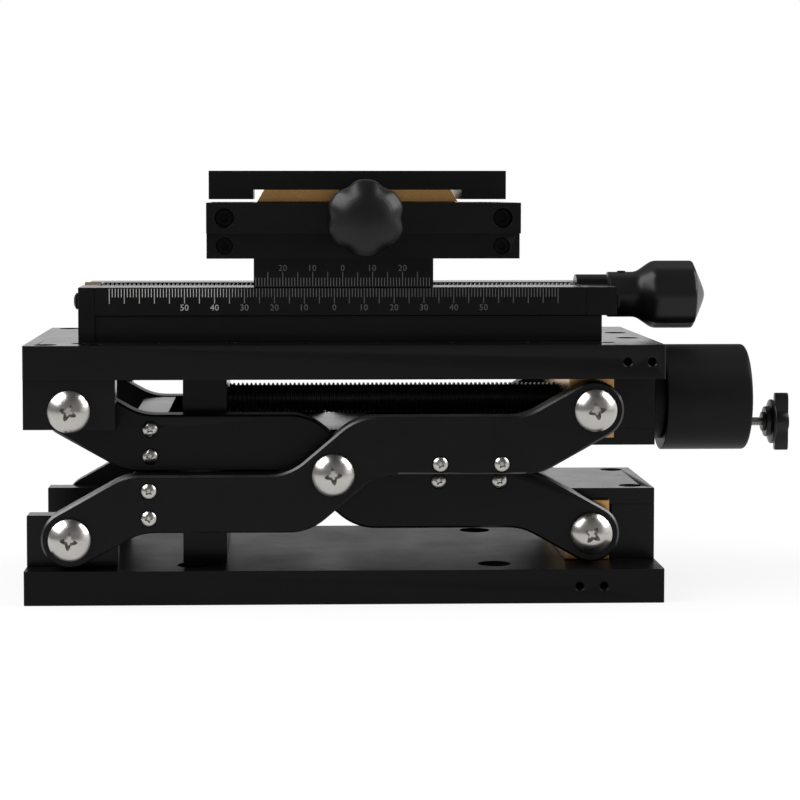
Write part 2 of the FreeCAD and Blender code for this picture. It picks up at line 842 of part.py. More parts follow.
def make_spreaders(side, rising, inside):
    """Left bar and right plate between the two arms of a pair, with tapped ends."""
    up = "" if rising == 1 else "-"
    tap = "small_bite"

    def tapped(blank, spots):
        holes = []
        for spot_x, z in spots:
            height = "centre_z + %s * (%s)" % (rising, z)
            holes.append(rod("y", (spot_x, "-" + inside, height), tap, "small_shank"))
            holes.append(rod("y", (spot_x, inside + " - " + tap, height), tap, "small_shank"))
        return cut(blank, holes)

    near = "centre_z - %d * spreader_gap" % rising
    far = "centre_z - %d * (arm_width - spreader_gap)" % rising
    low, high = (far, near) if rising == 1 else (near, far)
    left_x = "centre_x - left_screw_x"
    blank = box((left_x + " - left_spreader / 2", "-" + inside, low),
                (left_x + " + left_spreader / 2", inside, high))
    keep(side + "_spreader_bar", tapped(blank, [
        (left_x, "-left_screw_low"), (left_x, "-left_screw_high")]))

    near = "centre_z + %d * spreader_gap" % rising
    far = "centre_z + %d * (spreader_gap + right_plate_thick)" % rising
    low, high = (near, far) if rising == 1 else (far, near)
    middle = "centre_x + (right_screw_near + right_screw_far) / 2"
    blank = box((middle + " - right_plate_length / 2", "-" + inside, low),
                (middle + " + right_plate_length / 2", inside, high))
    keep(side + "_spreader_plate", tapped(blank, [
        ("centre_x + right_screw_near", "right_screw_z"),
        ("centre_x + right_screw_far", "right_screw_z")]))

    layer_face = size(inside) + size("arm_thick")
    under_head = layer_face - size("small_seat_depth")
    reach = under_head - size(inside) + size("small_bite")
    shape = screw_shape(size("small_head"), size("small_head_height"), size("small_shank"),
                        reach, size("small_head_height") * SMALL_DOME, "cross")
    spots = [(-size("left_screw_x"), -size("left_screw_low")),
             (-size("left_screw_x"), -size("left_screw_high")),
             (size("right_screw_near"), size("right_screw_z")),
             (size("right_screw_far"), size("right_screw_z"))]
    seats = []
    for x, z in spots:
        seats += both_sides(size("centre_x") + x, under_head, size("centre_z") + rising * z)
    screw_group(side + "_arm_screws", [(shape, seats)])


def make_arms():
    """Outer pair, inner pair, their spreaders and the centre pivot."""
    make_arm("outer_arm_front", 1, False, "outer_inside", "pivot_bore")
    make_arm("outer_arm_rear", 1, True, "outer_inside", "pivot_bore")
    make_arm("inner_arm_front", -1, False, "inner_inside", "pivot_shank")
    make_arm("inner_arm_rear", -1, True, "inner_inside", "pivot_shank")
    make_spreaders("outer", 1, "outer_inside")
    make_spreaders("inner", -1, "inner_inside")

    blank = box(("centre_x - centre_block_length / 2", "-inner_inside",
                 "centre_z - centre_block_height / 2"),
                ("centre_x + centre_block_length / 2", "inner_inside",
                 "centre_z + centre_block_height / 2"))
    holes = [rod("y", ("centre_x", "-inner_inside", "centre_z"), "pivot_bite", "pivot_shank"),
             rod("y", ("centre_x", "inner_inside - pivot_bite", "centre_z"), "pivot_bite",
                 "pivot_shank")]
    keep("centre_block", cut(blank, holes))
    under_head = size("outer_face") + size("head_gap")
    reach = under_head - size("inner_inside") + size("pivot_bite")
    seats = both_sides(size("centre_x"), under_head, size("centre_z"))
    screw_group("centre_pivot_screws", [(pivot_screw(reach), seats)])


def make_slider(label, end, low, high, pivot_z, arm_face, up, with_nut):
    """A brass cross bar that slides in a guide and carries an arm at each end.

    Outside the guide its ends reach past the pivot, up when up is 1 and down when it is -1."""
    left = "pivot_right - slider_length / 2"
    right = "pivot_right + slider_length / 2"
    tip = "%s + %d * slider_end_reach" % (pivot_z, up)
    end_low, end_high = (low, tip) if up == 1 else (tip, high)
    shoulder = "guide_half_width + free_gap"
    blank = join([box((left, "-" + end, low), (right, end, high)),
                  box((left, "-" + end, end_low), (right, "-(%s)" % shoulder, end_high)),
                  box((left, shoulder, end_low), (right, end, end_high))])
    holes = [rod("y", ("pivot_right", "-" + end, pivot_z), "pivot_bite", "pivot_shank"),
             rod("y", ("pivot_right", end + " - pivot_bite", pivot_z), "pivot_bite",
                 "pivot_shank")]
    if with_nut:
        holes.append(rod("x", (left, "0", "pivot_high"), "slider_length",
                         "lift_screw_diameter + 2 * running"))
    keep(label, cut(blank, holes))
    under_head = size(arm_face) + size("head_gap")
    reach = under_head - size(end) + size("pivot_bite")
    seats = both_sides(size("pivot_right"), under_head, size(pivot_z))
    screw_group(label + "_screws", [(pivot_screw(reach), seats)])


def make_sliders():
    gap = "guide_height - guide_cap_thick - sliding"
    make_slider("lower_slider", "slider_face", "base_top + sliding", "base_top + " + gap,
                "pivot_low", "inner_face", 1, False)
    make_slider("upper_slider", "inner_face", "top_low - (%s)" % gap, "top_low - sliding",
                "pivot_high", "outer_face", -1, True)


def make_top():
    """Top plate, its pivot blocks, screw bearing bar, slider guide and their screws."""
    outer_layer = "(outer_face + outer_inside) / 2"
    seat = "top_high - cap_seat_depth"
    tools = bolt_holes(bolt_spots(outer_layer), "top_low", "top_high", seat, "top_high")
    for step in GRID_STEPS:
        for x in (-step, step):
            for y in SIDES:
                spot = ("%s * grid_pitch" % x, y + " * grid_row", "top_low")
                tools.append(rod("z", spot, "plate_thick", "grid_hole"))
    tools += [rod("z", (x + " * x_bolt_x", y + " * x_bolt_y", "top_low"), "plate_thick",
                  "cap_shank") for x in SIDES for y in SIDES]
    tools += [rod("z", (x + " * x_bolt_x", y + " * x_bolt_y", "top_low"), "cap_seat_depth",
                  "cap_seat") for x in SIDES for y in SIDES]
    tools += front_holes("plate_end - top_front_hole_inset", "top_high - plate_thick / 2")
    plate("top_plate", "top_low", "top_high", tools)

    blocks = []
    for y in SIDES:
        near = "outer_inside" if y == "1" else "-outer_face"
        far = "outer_face" if y == "1" else "-outer_inside"
        blank = box(("pivot_left - pivot_block_length / 2", near, "top_low - top_block_height"),
                    ("pivot_left + pivot_block_length / 2", far, "top_low"))
        holes = [rod("y", ("pivot_left", near, "pivot_high"), "arm_thick", "pivot_shank")]
        holes += [rod("z", (x, y + " * (%s)" % outer_layer, "top_low - cap_bite"), "cap_bite",
                      "cap_shank") for x in BLOCK_BOLTS]
        blocks.append(cut(blank, holes))
    keep("top_pivot_blocks", group(blocks))
    reach = size("outer_face") - size("inner_inside")
    seats = both_sides(size("pivot_left"), size("outer_face"), size("pivot_high"))
    screw_group("top_pivot_screws", [(pivot_screw(reach), seats)])

    bar = box(("bar_x - bar_length / 2", "-bar_half_width", "top_low - bar_height"),
              ("bar_x + bar_length / 2", "bar_half_width", "top_low"))
    holes = [rod("z", ("bar_x", y + " * bar_bolt_y", "top_low - cap_bite"), "cap_bite",
                 "cap_shank") for y in SIDES]
    bush = "journal + 2 * bush_wall"
    holes.append(rod("x", ("bar_x - bar_length / 2", "0", "pivot_high"), "bar_length", bush))
    keep("screw_bearing_bar", cut(bar, holes))

    make_guide("top", "top_low", -1)
    through = size("plate_thick") - size("cap_seat_depth")
    down = bolt_seats((size("outer_face") + size("outer_inside")) / 2,
                      size("top_high") - size("cap_seat_depth"), (0, 0, 1))
    up = four_corners(size("x_bolt_x"), size("x_bolt_y"),
                      size("top_low") + size("cap_seat_depth"), (0, 0, -1))
    screw_group("top_cap_screws", [(cap_screw(through + size("cap_bite")), down),
                                   (cap_screw(through + size("x_floor_thick") / 2), up),
                                   guide_cap_screws("top_low", -1)])


def bush(start, length, inner, wall, height, flange_at=None):
    """A plain bearing bush on the X line at a height, with an optional flange."""
    outer = "%s + 2 * %s" % (inner, wall)
    body = [rod("x", (start, "0", height), length, outer)]
    if flange_at:
        body.append(rod("x", (flange_at, "0", height), "bush_flange_thick",
                        outer + " + 2 * bush_flange"))
    bore = rod("x", (start, "0", height), length, inner + " + 2 * running")
    return cut(join(body), [bore])


def make_bushes():
    """Bearings of the lift screw and the X screw."""
    keep("screw_bushes", group([
        bush("bar_x - bar_length / 2", "bar_length", "journal", "bush_wall", "pivot_high"),
        bush("guide_left", "guide_block_length", "journal", "bush_wall", "pivot_high",
             "plate_end - bush_flange_thick"),
        bush("x_left - x_end_left_thick", "x_end_left_thick", "x_journal", "x_bush_wall",
             "x_screw_z"),
        bush("x_right", "x_boss_length", "x_journal", "x_bush_wall", "x_screw_z")]))


def make_lift_screw():
    """Lift screw, hub, knob and crank stud, which turn together."""
    shaft = [rod("x", ("bar_x + bar_length / 2 + free_gap", "0", "pivot_high"),
                 "guide_left - bar_x - bar_length / 2 - 2 * free_gap", "lift_screw_diameter"),
             rod("x", ("bar_x - bar_length / 2", "0", "pivot_high"),
                 "lift_knob_left + lift_knob_bore_depth - bar_x + bar_length / 2", "journal")]
    keep("lift_screw", join(shaft))
    hub = rod("x", ("lift_hub_left", "0", "pivot_high"), "lift_hub_length", "lift_hub_diameter")
    bore = rod("x", ("lift_hub_left", "0", "pivot_high"), "lift_hub_length", "journal")
    keep("lift_knob_hub", cut(hub, [bore]))

    knob = turned("lift_knob", ("lift_knob_left", "0", "pivot_high"), [
        ("0", "0"), ("0", "lift_knob_diameter / 2"),
        ("lift_knob_length - lift_knob_crown", "lift_knob_diameter / 2"),
        ("lift_knob_length", "lift_knob_flat / 2"), ("lift_knob_length", "0")])
    rim_x = size("lift_knob_length") - size("lift_knob_crown")

    def at_rim(edge):
        return (edge.Curve.TypeId == "Part::GeomCircle"
                and abs(edge.Curve.Radius - size("lift_knob_diameter") / 2) < 1e-6
                and abs(edge.Curve.Center.x - rim_x) < 1e-6)

    add_round(knob, knob.Tip, "lift_knob_round", at_rim)
    shaft_bore = new_sketch(knob, "YZ_Plane")
    add_circle(shaft_bore, ("0", "0"), "journal")
    add_pocket(knob, shaft_bore, "lift_knob_bore_depth", True)
    stud_bore = new_sketch(knob, "YZ_Plane", "lift_knob_length")
    add_circle(stud_bore, ("0", "-crank_radius"), "stud_diameter")
    add_pocket(knob, stud_bore, "stud_bite")
    keep("lift_knob", knob)
    keep("crank_stud", rod("x", ("lift_knob_right - stud_bite", "0", "crank_z"),
                           "crank_bar_left - lift_knob_right + stud_bite", "stud_diameter"))


def scallop(body, lobes, diameter, depth, radius, start, length):
    """Cut evenly spaced scallops along a turned body, with a lobe left straight up."""
    cutter = new_sketch(body, "YZ_Plane", start)
    reach = "(%s / 2 - %s + %s / 2)" % (radius, depth, diameter)
    add_circle(cutter, ("%s * sin(180 deg / %s)" % (reach, lobes),
                        "%s * cos(180 deg / %s)" % (reach, lobes)), diameter)
    first = add_pocket(body, cutter, length, True)
    ring = body.newObject("PartDesign::PolarPattern", "ring")
    ring.Originals = [first]
    axis = next(item for item in body.Origin.OriginFeatures if item.Role == "X_Axis")
    ring.Axis = (axis, [""])
    ring.Angle = 360
    bind(ring, "Occurrences", lobes)
    body.Tip = ring
    doc.recompute()
    return ring


def make_crank_grip():
    """Cross-bar grip that turns on the crank stud, at rest with its bar upright."""
    solids = []
    left = "crank_left"
    for step in ("collar", "hub", "flare", "neck"):
        solids.append(rod("x", (left, "0", "crank_z"), "crank_%s_length" % step,
                          "crank_%s_diameter" % step))
        left += " + crank_%s_length" % step
    left = "crank_bar_left"
    half = "(crank_bar_length - crank_bar_width) / 2"
    low = "crank_z - " + half
    high = "crank_z + " + half
    solids.append(box((left, "-crank_bar_width / 2", low),
                      (left + " + crank_bar_thick", "crank_bar_width / 2", high)))
    solids.append(rod("x", (left, "0", "crank_z"), "crank_bar_thick", "crank_boss_diameter"))
    for z in (low, high):
        solids.append(rod("x", (left, "0", z), "crank_bar_thick", "crank_bar_width"))
    bore = rod("x", ("crank_left", "0", "crank_z"), "crank_bar_left - crank_left + free_gap",
               "stud_diameter + 2 * running")
    keep("crank_grip", cut(join(solids), [bore]))


# ---------------------------------------------------------------- X slide


def make_x_base():
    """Floor, two undercut rails, end plates and end screws of the X slide."""
    floor = box(("x_left", "-x_width / 2 + x_floor_inset", "top_high"),
                ("x_floor_right", "x_width / 2 - x_floor_inset", "x_floor_top"))
    holes = [rod("z", (x + " * x_bolt_x", y + " * x_bolt_y", "top_high"), "x_floor_thick / 2",
                 "cap_shank") for x in SIDES for y in SIDES]
    keep("x_floor", cut(floor, holes))

    for label, side in (("x_rail_front", "-1"), ("x_rail_rear", "1")):
        rail = prism(label, "YZ_Plane", ("x_left", "0", "x_floor_top"), [
            (side + " * x_width / 2", "0"), (side + " * x_width / 2", "x_rail_height"),
            (side + " * x_slot / 2", "x_rail_height"),
            ("%s * (x_slot / 2 + x_undercut)" % side, "0")], "x_right - x_left")
        taps = new_sketch(rail, "YZ_Plane")
        add_circle(taps, (side + " * x_end_screw_y", "x_rail_height / 2"), "small_shank")
        add_pocket(rail, taps, "small_bite", True)
        taps = new_sketch(rail, "YZ_Plane", "x_right - x_left")
        add_circle(taps, (side + " * x_end_screw_y", "x_rail_height / 2"), "small_shank")
        add_pocket(rail, taps, "small_bite")
        keep(label, rail)

    screw_z = "x_floor_top + x_rail_height / 2"
    bore = "x_journal + 2 * x_bush_wall"
    left = box(("x_left - x_end_left_thick", "-x_width / 2", "top_high"),
               ("x_left", "x_width / 2", "x_rail_top"))
    holes = [rod("x", ("x_left - x_end_left_thick", y + " * x_end_screw_y", screw_z),
                 "x_end_left_thick", "small_shank") for y in SIDES]
    holes.append(rod("x", ("x_left - x_end_left_thick", "0", "x_screw_z"), "x_end_left_thick", bore))
    keep("x_end_left", cut(left, holes))

    right = box(("x_right", "-x_width / 2", "x_floor_top"),
                ("x_right + x_end_right_thick", "x_width / 2", "x_rail_top"))
    boss = rod("x", ("x_right", "0", "x_screw_z"), "x_boss_length", "x_boss_diameter")
    under = box(("x_right", "-x_boss_diameter", "x_screw_z - x_boss_diameter"),
                ("x_right + x_boss_length", "x_boss_diameter", "x_floor_top"))
    holes = [rod("x", ("x_right", y + " * x_end_screw_y", screw_z), "x_end_right_thick",
                 "small_shank") for y in SIDES]
    holes.append(rod("x", ("x_right", "0", "x_screw_z"), "x_boss_length", bore))
    keep("x_end_right", cut(cut(join([right, boss]), [under]), holes))

    z = size("x_floor_top") + size("x_rail_height") / 2
    sets = []
    for way, face, thick in ((-1, size("x_left") - size("x_end_left_thick"), "x_end_left_thick"),
                             (1, size("x_right") + size("x_end_right_thick"), "x_end_right_thick")):
        shape = screw_shape(size("x_end_screw_head"), size("x_end_screw_head_height"),
                            size("small_shank"), size(thick) + size("small_bite") / 2,
                            size("x_end_screw_head_height") * SMALL_DOME, "hex")
        sets.append((shape, [((face, y * size("x_end_screw_y"), z), (way, 0, 0))
                             for y in (-1, 1)]))
    screw_group("x_end_screws", sets)


def make_x_screw():
    """X screw and its fluted knob."""
    thread = rod("x", ("x_left + free_gap", "0", "x_screw_z"), "x_right - x_left - 2 * free_gap",
                 "x_screw_diameter")
    spindle = rod("x", ("x_left - x_end_left_thick", "0", "x_screw_z"),
                  "x_knob_body - x_left + x_end_left_thick", "x_journal")
    keep("x_screw", join([thread, spindle]))

    body_x = "x_neck_length + x_cone_length"
    knob = turned("x_knob", ("x_knob_left", "0", "x_screw_z"), [
        ("0", "0"), ("0", "x_neck_diameter / 2"), ("x_neck_length", "x_neck_diameter / 2"),
        (body_x, "x_knob_diameter / 2"), (body_x + " + x_knob_length", "x_knob_diameter / 2"),
        (body_x + " + x_knob_length + x_knob_crown", "x_knob_flat / 2"),
        (body_x + " + x_knob_length + x_knob_crown", "0")])
    crown_x = size("x_neck_length") + size("x_cone_length") + size("x_knob_length")
    add_round(knob, knob.Tip, "x_knob_round", circle_past(crown_x))
    bore = new_sketch(knob, "YZ_Plane")
    add_circle(bore, ("0", "0"), "x_journal")
    add_pocket(knob, bore, body_x, True)
    scallop(knob, "x_flutes", "x_flute_diameter", "x_flute_depth", "x_knob_diameter",
            "x_neck_length", "x_cone_length + x_knob_length + x_knob_crown")
    tap = new_sketch(knob, "XY_Plane")
    add_circle(tap, ("x_neck_length / 2", "0"), "set_screw")
    add_pocket(knob, tap, "x_neck_diameter / 2", True)
    keep("x_knob", knob)
    low = size("x_screw_z") + size("x_journal") / 2
    screw = Part.makeCylinder(size("set_screw") / 2, size("set_screw_length"))
    screw.translate(Vector(size("x_knob_left") + size("x_neck_length") / 2, 0, low))
    together = doc.addObject("Part::Feature", "x_set_screw")
    together.Shape = screw
    keep("x_set_screw", together)


def make_carriage():
    """X carriage with its dovetail keel, brass nut and gib strip."""
    top = "carriage_high - keel_low"
    shoulder = "carriage_low - keel_low"
    half = "x_width / 2"
    slot = "x_slot / 2"
    wide = slot + " + keel_spread"
    front = "-(%s - slide_across)"
    body = prism("x_carriage", "YZ_Plane", ("-carriage_length / 2", "0", "keel_low"), [
        ("-(%s)" % half, shoulder), (front % slot, shoulder), (front % wide, "0"),
        (wide + " - gib_across - 2 * slide_across", "0"),
        (slot + " - gib_across - 2 * slide_across", shoulder),
        (half, shoulder), (half, top), ("-(%s)" % half, top)], "carriage_length")
    screw_way = new_sketch(body, "YZ_Plane")
    add_circle(screw_way, ("0", "x_screw_z - keel_low"), "x_screw_diameter + 2 * free_gap")
    add_through_cut(body, screw_way)
    pocket = new_sketch(body, "XY_Plane")
    add_outline(pocket, [
        ("carriage_length / 2 - nut_length / 2", "-nut_width / 2"),
        ("carriage_length / 2 + nut_length / 2", "-nut_width / 2"),
        ("carriage_length / 2 + nut_length / 2", "nut_width / 2"),
        ("carriage_length / 2 - nut_length / 2", "nut_width / 2")])
    add_pocket(body, pocket, "x_rail_top - keel_low + nut_crown", True)
    holes = new_sketch(body, "XY_Plane", top)
    for x in SIDES:
        for y in SIDES:
            add_circle(holes, ("carriage_length / 2 + %s * adapter_bolt" % x,
                               y + " * adapter_bolt"), "cap_shank")
    add_pocket(body, holes, "cap_bite")
    keep("x_carriage", body)

    nut = box(("-nut_length / 2", "-nut_width / 2", "keel_low"),
              ("nut_length / 2", "nut_width / 2", "x_rail_top + nut_crown"))
    thread = rod("x", ("-nut_length / 2", "0", "x_screw_z"), "nut_length",
                 "x_screw_diameter + 2 * running")
    keep("x_nut", cut(nut, [thread]))

    gib = prism("x_gib", "YZ_Plane", ("-carriage_length / 2", "0", "keel_low"), [
        (slot + " - slide_across", "x_rail_top - keel_low"),
        (wide + " - slide_across", "0"),
        (wide + " - slide_across - gib_across", "0"),
        (slot + " - slide_across - gib_across", "x_rail_top - keel_low")], "carriage_length")
    keep("x_gib", gib)


# ---------------------------------------------------------------- Y slide


def make_y_body():
    """Adapter, dovetailed body and front plate of the Y slide."""
    adapter = box(("y_left", "-adapter_width / 2", "carriage_high"),
                  ("y_right", "adapter_width / 2", "adapter_high"))
    holes = bolt_holes([(x + " * adapter_bolt", y + " * adapter_bolt")
                        for x in SIDES for y in SIDES],
                       "carriage_high", "adapter_high",
                       "adapter_high - cap_seat_depth", "adapter_high")
    holes += bolt_holes([("y_centre_x + %s * y_body_bolt_x" % x, y + " * y_body_bolt_y")
                         for x in SIDES for y in SIDES],
                        "carriage_high", "adapter_high",
                        "carriage_high", "carriage_high + cap_seat_depth")
    screw_z = "adapter_high - adapter_screw_drop"
    for x in ("y_left + y_end_screw_inset", "y_right - y_end_screw_inset"):
        holes.append(rod("y", (x, "-adapter_width / 2", screw_z),
                         "adapter_screw_sink + y_end_screw_bite", "y_end_screw_shank"))
        holes.append(rod("y", (x, "-adapter_width / 2", screw_z), "adapter_screw_sink",
                         "adapter_screw_seat"))
    keep("y_adapter", cut(adapter, holes))

    deep = "-y_dovetail_depth"
    left = "table_offset - y_dovetail_mouth / 2"
    right = "table_offset + y_dovetail_mouth / 2"
    body = prism("y_body", "XZ_Plane", ("y_centre_x", "y_width / 2", "y_body_high"), [
        ("-y_length / 2", "-y_body_thick"), ("y_length / 2", "-y_body_thick"),
        ("y_length / 2", "0"), (right, "0"), (right + " + y_undercut", deep),
        (left + " - y_undercut", deep), (left, "0"), ("-y_length / 2", "0")], "y_width")
    window = new_sketch(body, "XY_Plane", deep)
    half_x = "(y_nut_width / 2 + y_slot_gap)"
    half_y = "(y_nut_length / 2 + y_travel + y_slot_gap)"
    add_outline(window, [
        ("-" + half_x, "-y_width / 2 - " + half_y), (half_x, "-y_width / 2 - " + half_y),
        (half_x, "-y_width / 2 + " + half_y), ("-" + half_x, "-y_width / 2 + " + half_y)])
    add_pocket(body, window, "y_body_thick - y_dovetail_depth")
    screw_way = new_sketch(body, "XZ_Plane")
    add_circle(screw_way, ("0", "-y_screw_drop"), "y_screw_diameter + 2 * y_groove_gap")
    add_through_cut(body, screw_way)
    taps = new_sketch(body, "XY_Plane", "-y_body_thick")
    for x in SIDES:
        for y in SIDES:
            add_circle(taps, (x + " * y_body_bolt_x",
                              "-y_width / 2 + %s * y_body_bolt_y" % y), "cap_shank")
    add_pocket(body, taps, "cap_bite", True)
    taps = new_sketch(body, "XZ_Plane", "y_width")
    for x in SIDES:
        add_circle(taps, ("%s * (y_length / 2 - y_end_screw_inset)" % x, "-y_body_thick / 2"),
                   "y_end_screw_shank")
    add_pocket(body, taps, "y_end_screw_bite")
    keep("y_body", body)

    front = box(("y_left", "-y_front", "adapter_high"), ("y_right", "-y_width / 2", "y_body_high"))
    middle = "adapter_high + y_body_thick / 2"
    holes = [rod("y", ("y_centre_x", "-y_front", "y_screw_z"), "y_front_thick",
                 "y_screw_diameter + 2 * running")]
    for x in ("y_left + y_end_screw_inset", "y_right - y_end_screw_inset"):
        holes.append(rod("y", (x, "-y_front", middle), "y_front_thick", "y_end_screw_shank"))
        holes.append(rod("y", (x, "-y_front", middle), "y_end_screw_sink", "y_end_screw_seat"))
    keep("y_front_plate", cut(front, holes))


def make_y_fasteners():
    """Screws that hold the Y slide together and down on the carriage."""
    depth = size("cap_seat_depth")
    bolt = cap_screw(size("adapter_thick") - depth + size("cap_bite"))
    down = four_corners(size("adapter_bolt"), size("adapter_bolt"),
                        size("adapter_high") - depth, (0, 0, 1))
    up = four_corners(size("y_body_bolt_x"), size("y_body_bolt_y"),
                      size("carriage_high") + depth, (0, 0, -1), size("y_centre_x"))
    screw_group("y_slide_bolts", [(bolt, down), (bolt, up)])

    spots = [size("y_left") + size("y_end_screw_inset"), size("y_right") - size("y_end_screw_inset")]
    middle = size("adapter_high") + size("y_body_thick") / 2
    seat_y = -size("y_front") + size("y_end_screw_sink")
    under = size("y_front_thick") - size("y_end_screw_sink")
    plate_screw = screw_shape(size("y_end_screw_head"), size("y_end_screw_shank"),
                              size("y_end_screw_shank"), under + size("y_end_screw_bite"),
                              0, "hex")
    plate_seats = [((x, seat_y, middle), (0, -1, 0)) for x in spots]
    seat_y = -size("adapter_width") / 2 + size("adapter_screw_sink")
    edge_screw = screw_shape(size("adapter_screw_head"), size("y_end_screw_shank"),
                             size("y_end_screw_shank"), size("y_end_screw_bite"), 0, "hex")
    height = size("adapter_high") - size("adapter_screw_drop")
    edge_seats = [((x, seat_y, height), (0, -1, 0)) for x in spots]
    screw_group("y_front_screws", [(plate_screw, plate_seats), (edge_screw, edge_seats)])


def make_table():
    """Table with its underside channel, and the brass dovetail with the nut boss."""
    low_x = "table_centre_x - table_length / 2"
    high_x = "table_centre_x + table_length / 2"
    blank = box((low_x, "-y_width / 2", "table_low"), (high_x, "y_width / 2", "table_high"))
    channel = box(("table_centre_x - table_channel / 2", "-y_width / 2", "table_low"),
                  ("table_centre_x + table_channel / 2", "y_width / 2", "slide_high"))
    holes = bolt_holes([("table_centre_x + %s * table_bolt_x" % x, y + " * table_bolt_y")
                        for x in SIDES for y in SIDES],
                       "slide_high", "table_high", "table_high - cap_seat_depth", "table_high")
    for x in SIDES:
        for y in SIDES:
            holes.append(rod("z", ("table_centre_x + %s * table_hole_x" % x,
                                   y + " * table_hole_y", "table_low"), "table_thick", "grid_hole"))
    keep("table", cut(blank, [channel] + holes))

    mouth = "y_dovetail_mouth / 2 - slide_across"
    top_half = "(%s - slide_narrow)" % mouth
    low_half = "(%s + slide_spread)" % mouth
    slide = prism("table_dovetail", "XZ_Plane", ("table_centre_x", "y_width / 2", "slide_low"), [
        ("-" + low_half, "0"), (low_half, "0"), (top_half, "slide_high - slide_low"),
        ("-" + top_half, "slide_high - slide_low")], "y_width")
    groove = new_sketch(slide, "XZ_Plane")
    groove_half = "(y_screw_diameter / 2 + y_groove_gap)"
    groove_left = "-table_offset - " + groove_half
    groove_right = "-table_offset + " + groove_half
    add_outline(groove, [
        (groove_left, "-free_gap"), (groove_right, "-free_gap"),
        (groove_right, "y_screw_z + %s - slide_low" % groove_half),
        (groove_left, "y_screw_z + %s - slide_low" % groove_half)])
    add_through_cut(slide, groove)
    step = new_sketch(slide, "XZ_Plane", "y_width")
    wide = "(%s + free_gap)" % low_half
    step_high = "y_body_high + free_gap - slide_low"
    clear_high = "slide_high - slide_low + free_gap"
    hub_half = "(y_knob_hub / 2 + y_groove_gap)"
    hub_left = "-table_offset - " + hub_half
    hub_right = "-table_offset + " + hub_half
    add_outline(step, [
        ("-" + wide, "-free_gap"), (wide, "-free_gap"), (wide, step_high),
        (hub_right, step_high), (hub_right, clear_high), (hub_left, clear_high),
        (hub_left, step_high), ("-" + wide, step_high)])
    add_pocket(slide, step, "y_travel + free_gap")
    taps = new_sketch(slide, "XY_Plane", "slide_high - slide_low")
    for x in SIDES:
        for y in SIDES:
            add_circle(taps, (x + " * table_bolt_x", "-y_width / 2 + %s * table_bolt_y" % y),
                       "cap_shank")
    add_pocket(slide, taps, "cap_bite / 2")
    keep("table_dovetail", slide)

    boss_low = "adapter_high + y_nut_floor_gap"
    boss_high = "y_screw_z + " + groove_half
    nut = join([
        box(("y_centre_x - y_nut_width / 2", "-y_nut_length / 2", boss_low),
            ("y_centre_x + y_nut_width / 2", "y_nut_length / 2", "slide_low")),
        box(("y_centre_x - " + groove_half, "-y_nut_length / 2", boss_low),
            ("y_centre_x + " + groove_half, "y_nut_length / 2", boss_high))])
    thread = rod("y", ("y_centre_x", "-y_nut_length / 2", "y_screw_z"), "y_nut_length",
                 "y_screw_diameter + 2 * running")
    keep("table_nut", cut(nut, [thread]))

    reach = size("table_high") - size("cap_seat_depth") - size("slide_high") + size("cap_bite") / 2
    seats = four_corners(size("table_bolt_x"), size("table_bolt_y"),
                         size("table_high") - size("cap_seat_depth"), (0, 0, 1),
                         size("table_centre_x"))
    screw_group("table_screws", [(cap_screw(reach), seats)])


def make_y_screw():
    """Y screw and its lobed knob."""
    front = "y_front + y_knob_stand + y_knob_length / 2"
    keep("y_screw", rod("y", ("y_centre_x", "-(%s)" % front, "y_screw_z"),
                        front + " + y_width / 2 - free_gap", "y_screw_diameter"))

    hub_end = "y_knob_stand - free_gap"
    edge = "%s + y_knob_length - y_knob_crown" % hub_end
    knob = turned("y_knob", ("y_centre_x", "-y_front - free_gap", "y_screw_z"), [
        ("0", "0"), ("0", "y_knob_hub / 2"), (hub_end, "y_knob_hub / 2"),
        (hub_end, "y_knob_diameter / 2"), (edge, "y_knob_diameter / 2"),
        (hub_end + " + y_knob_length", "y_knob_flat / 2"), (hub_end + " + y_knob_length", "0")],
        Rotation(Vector(0, 0, 1), -90))
    crown_x = (size("y_knob_stand") - size("free_gap") + size("y_knob_length")
               - size("y_knob_crown"))
    add_round(knob, knob.Tip, "y_knob_round", circle_past(crown_x))
    bore = new_sketch(knob, "YZ_Plane")
    add_circle(bore, ("0", "0"), "y_screw_diameter")
    add_pocket(knob, bore, hub_end + " + y_knob_length / 2", True)
    scallop(knob, "y_knob_lobes", "y_knob_scallop", "y_knob_scallop_depth", "y_knob_diameter",
            hub_end, "y_knob_length")
    keep("y_knob", knob)


# ---------------------------------------------------------------- check and write


def check_document():
    """Stop on any failed object or bad shape."""
    doc.recompute()
    for thing in doc.Objects:
        if "Invalid" in thing.State or "Error" in thing.State:
            raise RuntimeError("failed object: %s %s" % (thing.Label, thing.State))
    for label, thing in parts.items():
        shape = thing.Shape
        if shape.isNull() or not shape.isValid() or not shape.Solids:
            raise RuntimeError("bad shape: " + label)


def write_parts():
    os.makedirs("parts", exist_ok=True)
    for label, thing in parts.items():
        thing.Shape.exportStep(os.path.join("parts", label + ".step"))


fill_sheets()
make_base()
make_arms()
make_sliders()
make_top()
make_bushes()
make_lift_screw()
make_crank_grip()
make_x_base()
make_x_screw()
make_carriage()
make_y_body()
make_y_fasteners()
make_table()
make_y_screw()
check_document()
write_parts()
print("wrote %d parts" % len(parts))
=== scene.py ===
"""Dresses the three-axis manual stage: rolled screws, domed heads, knobs, rules and finishes."""

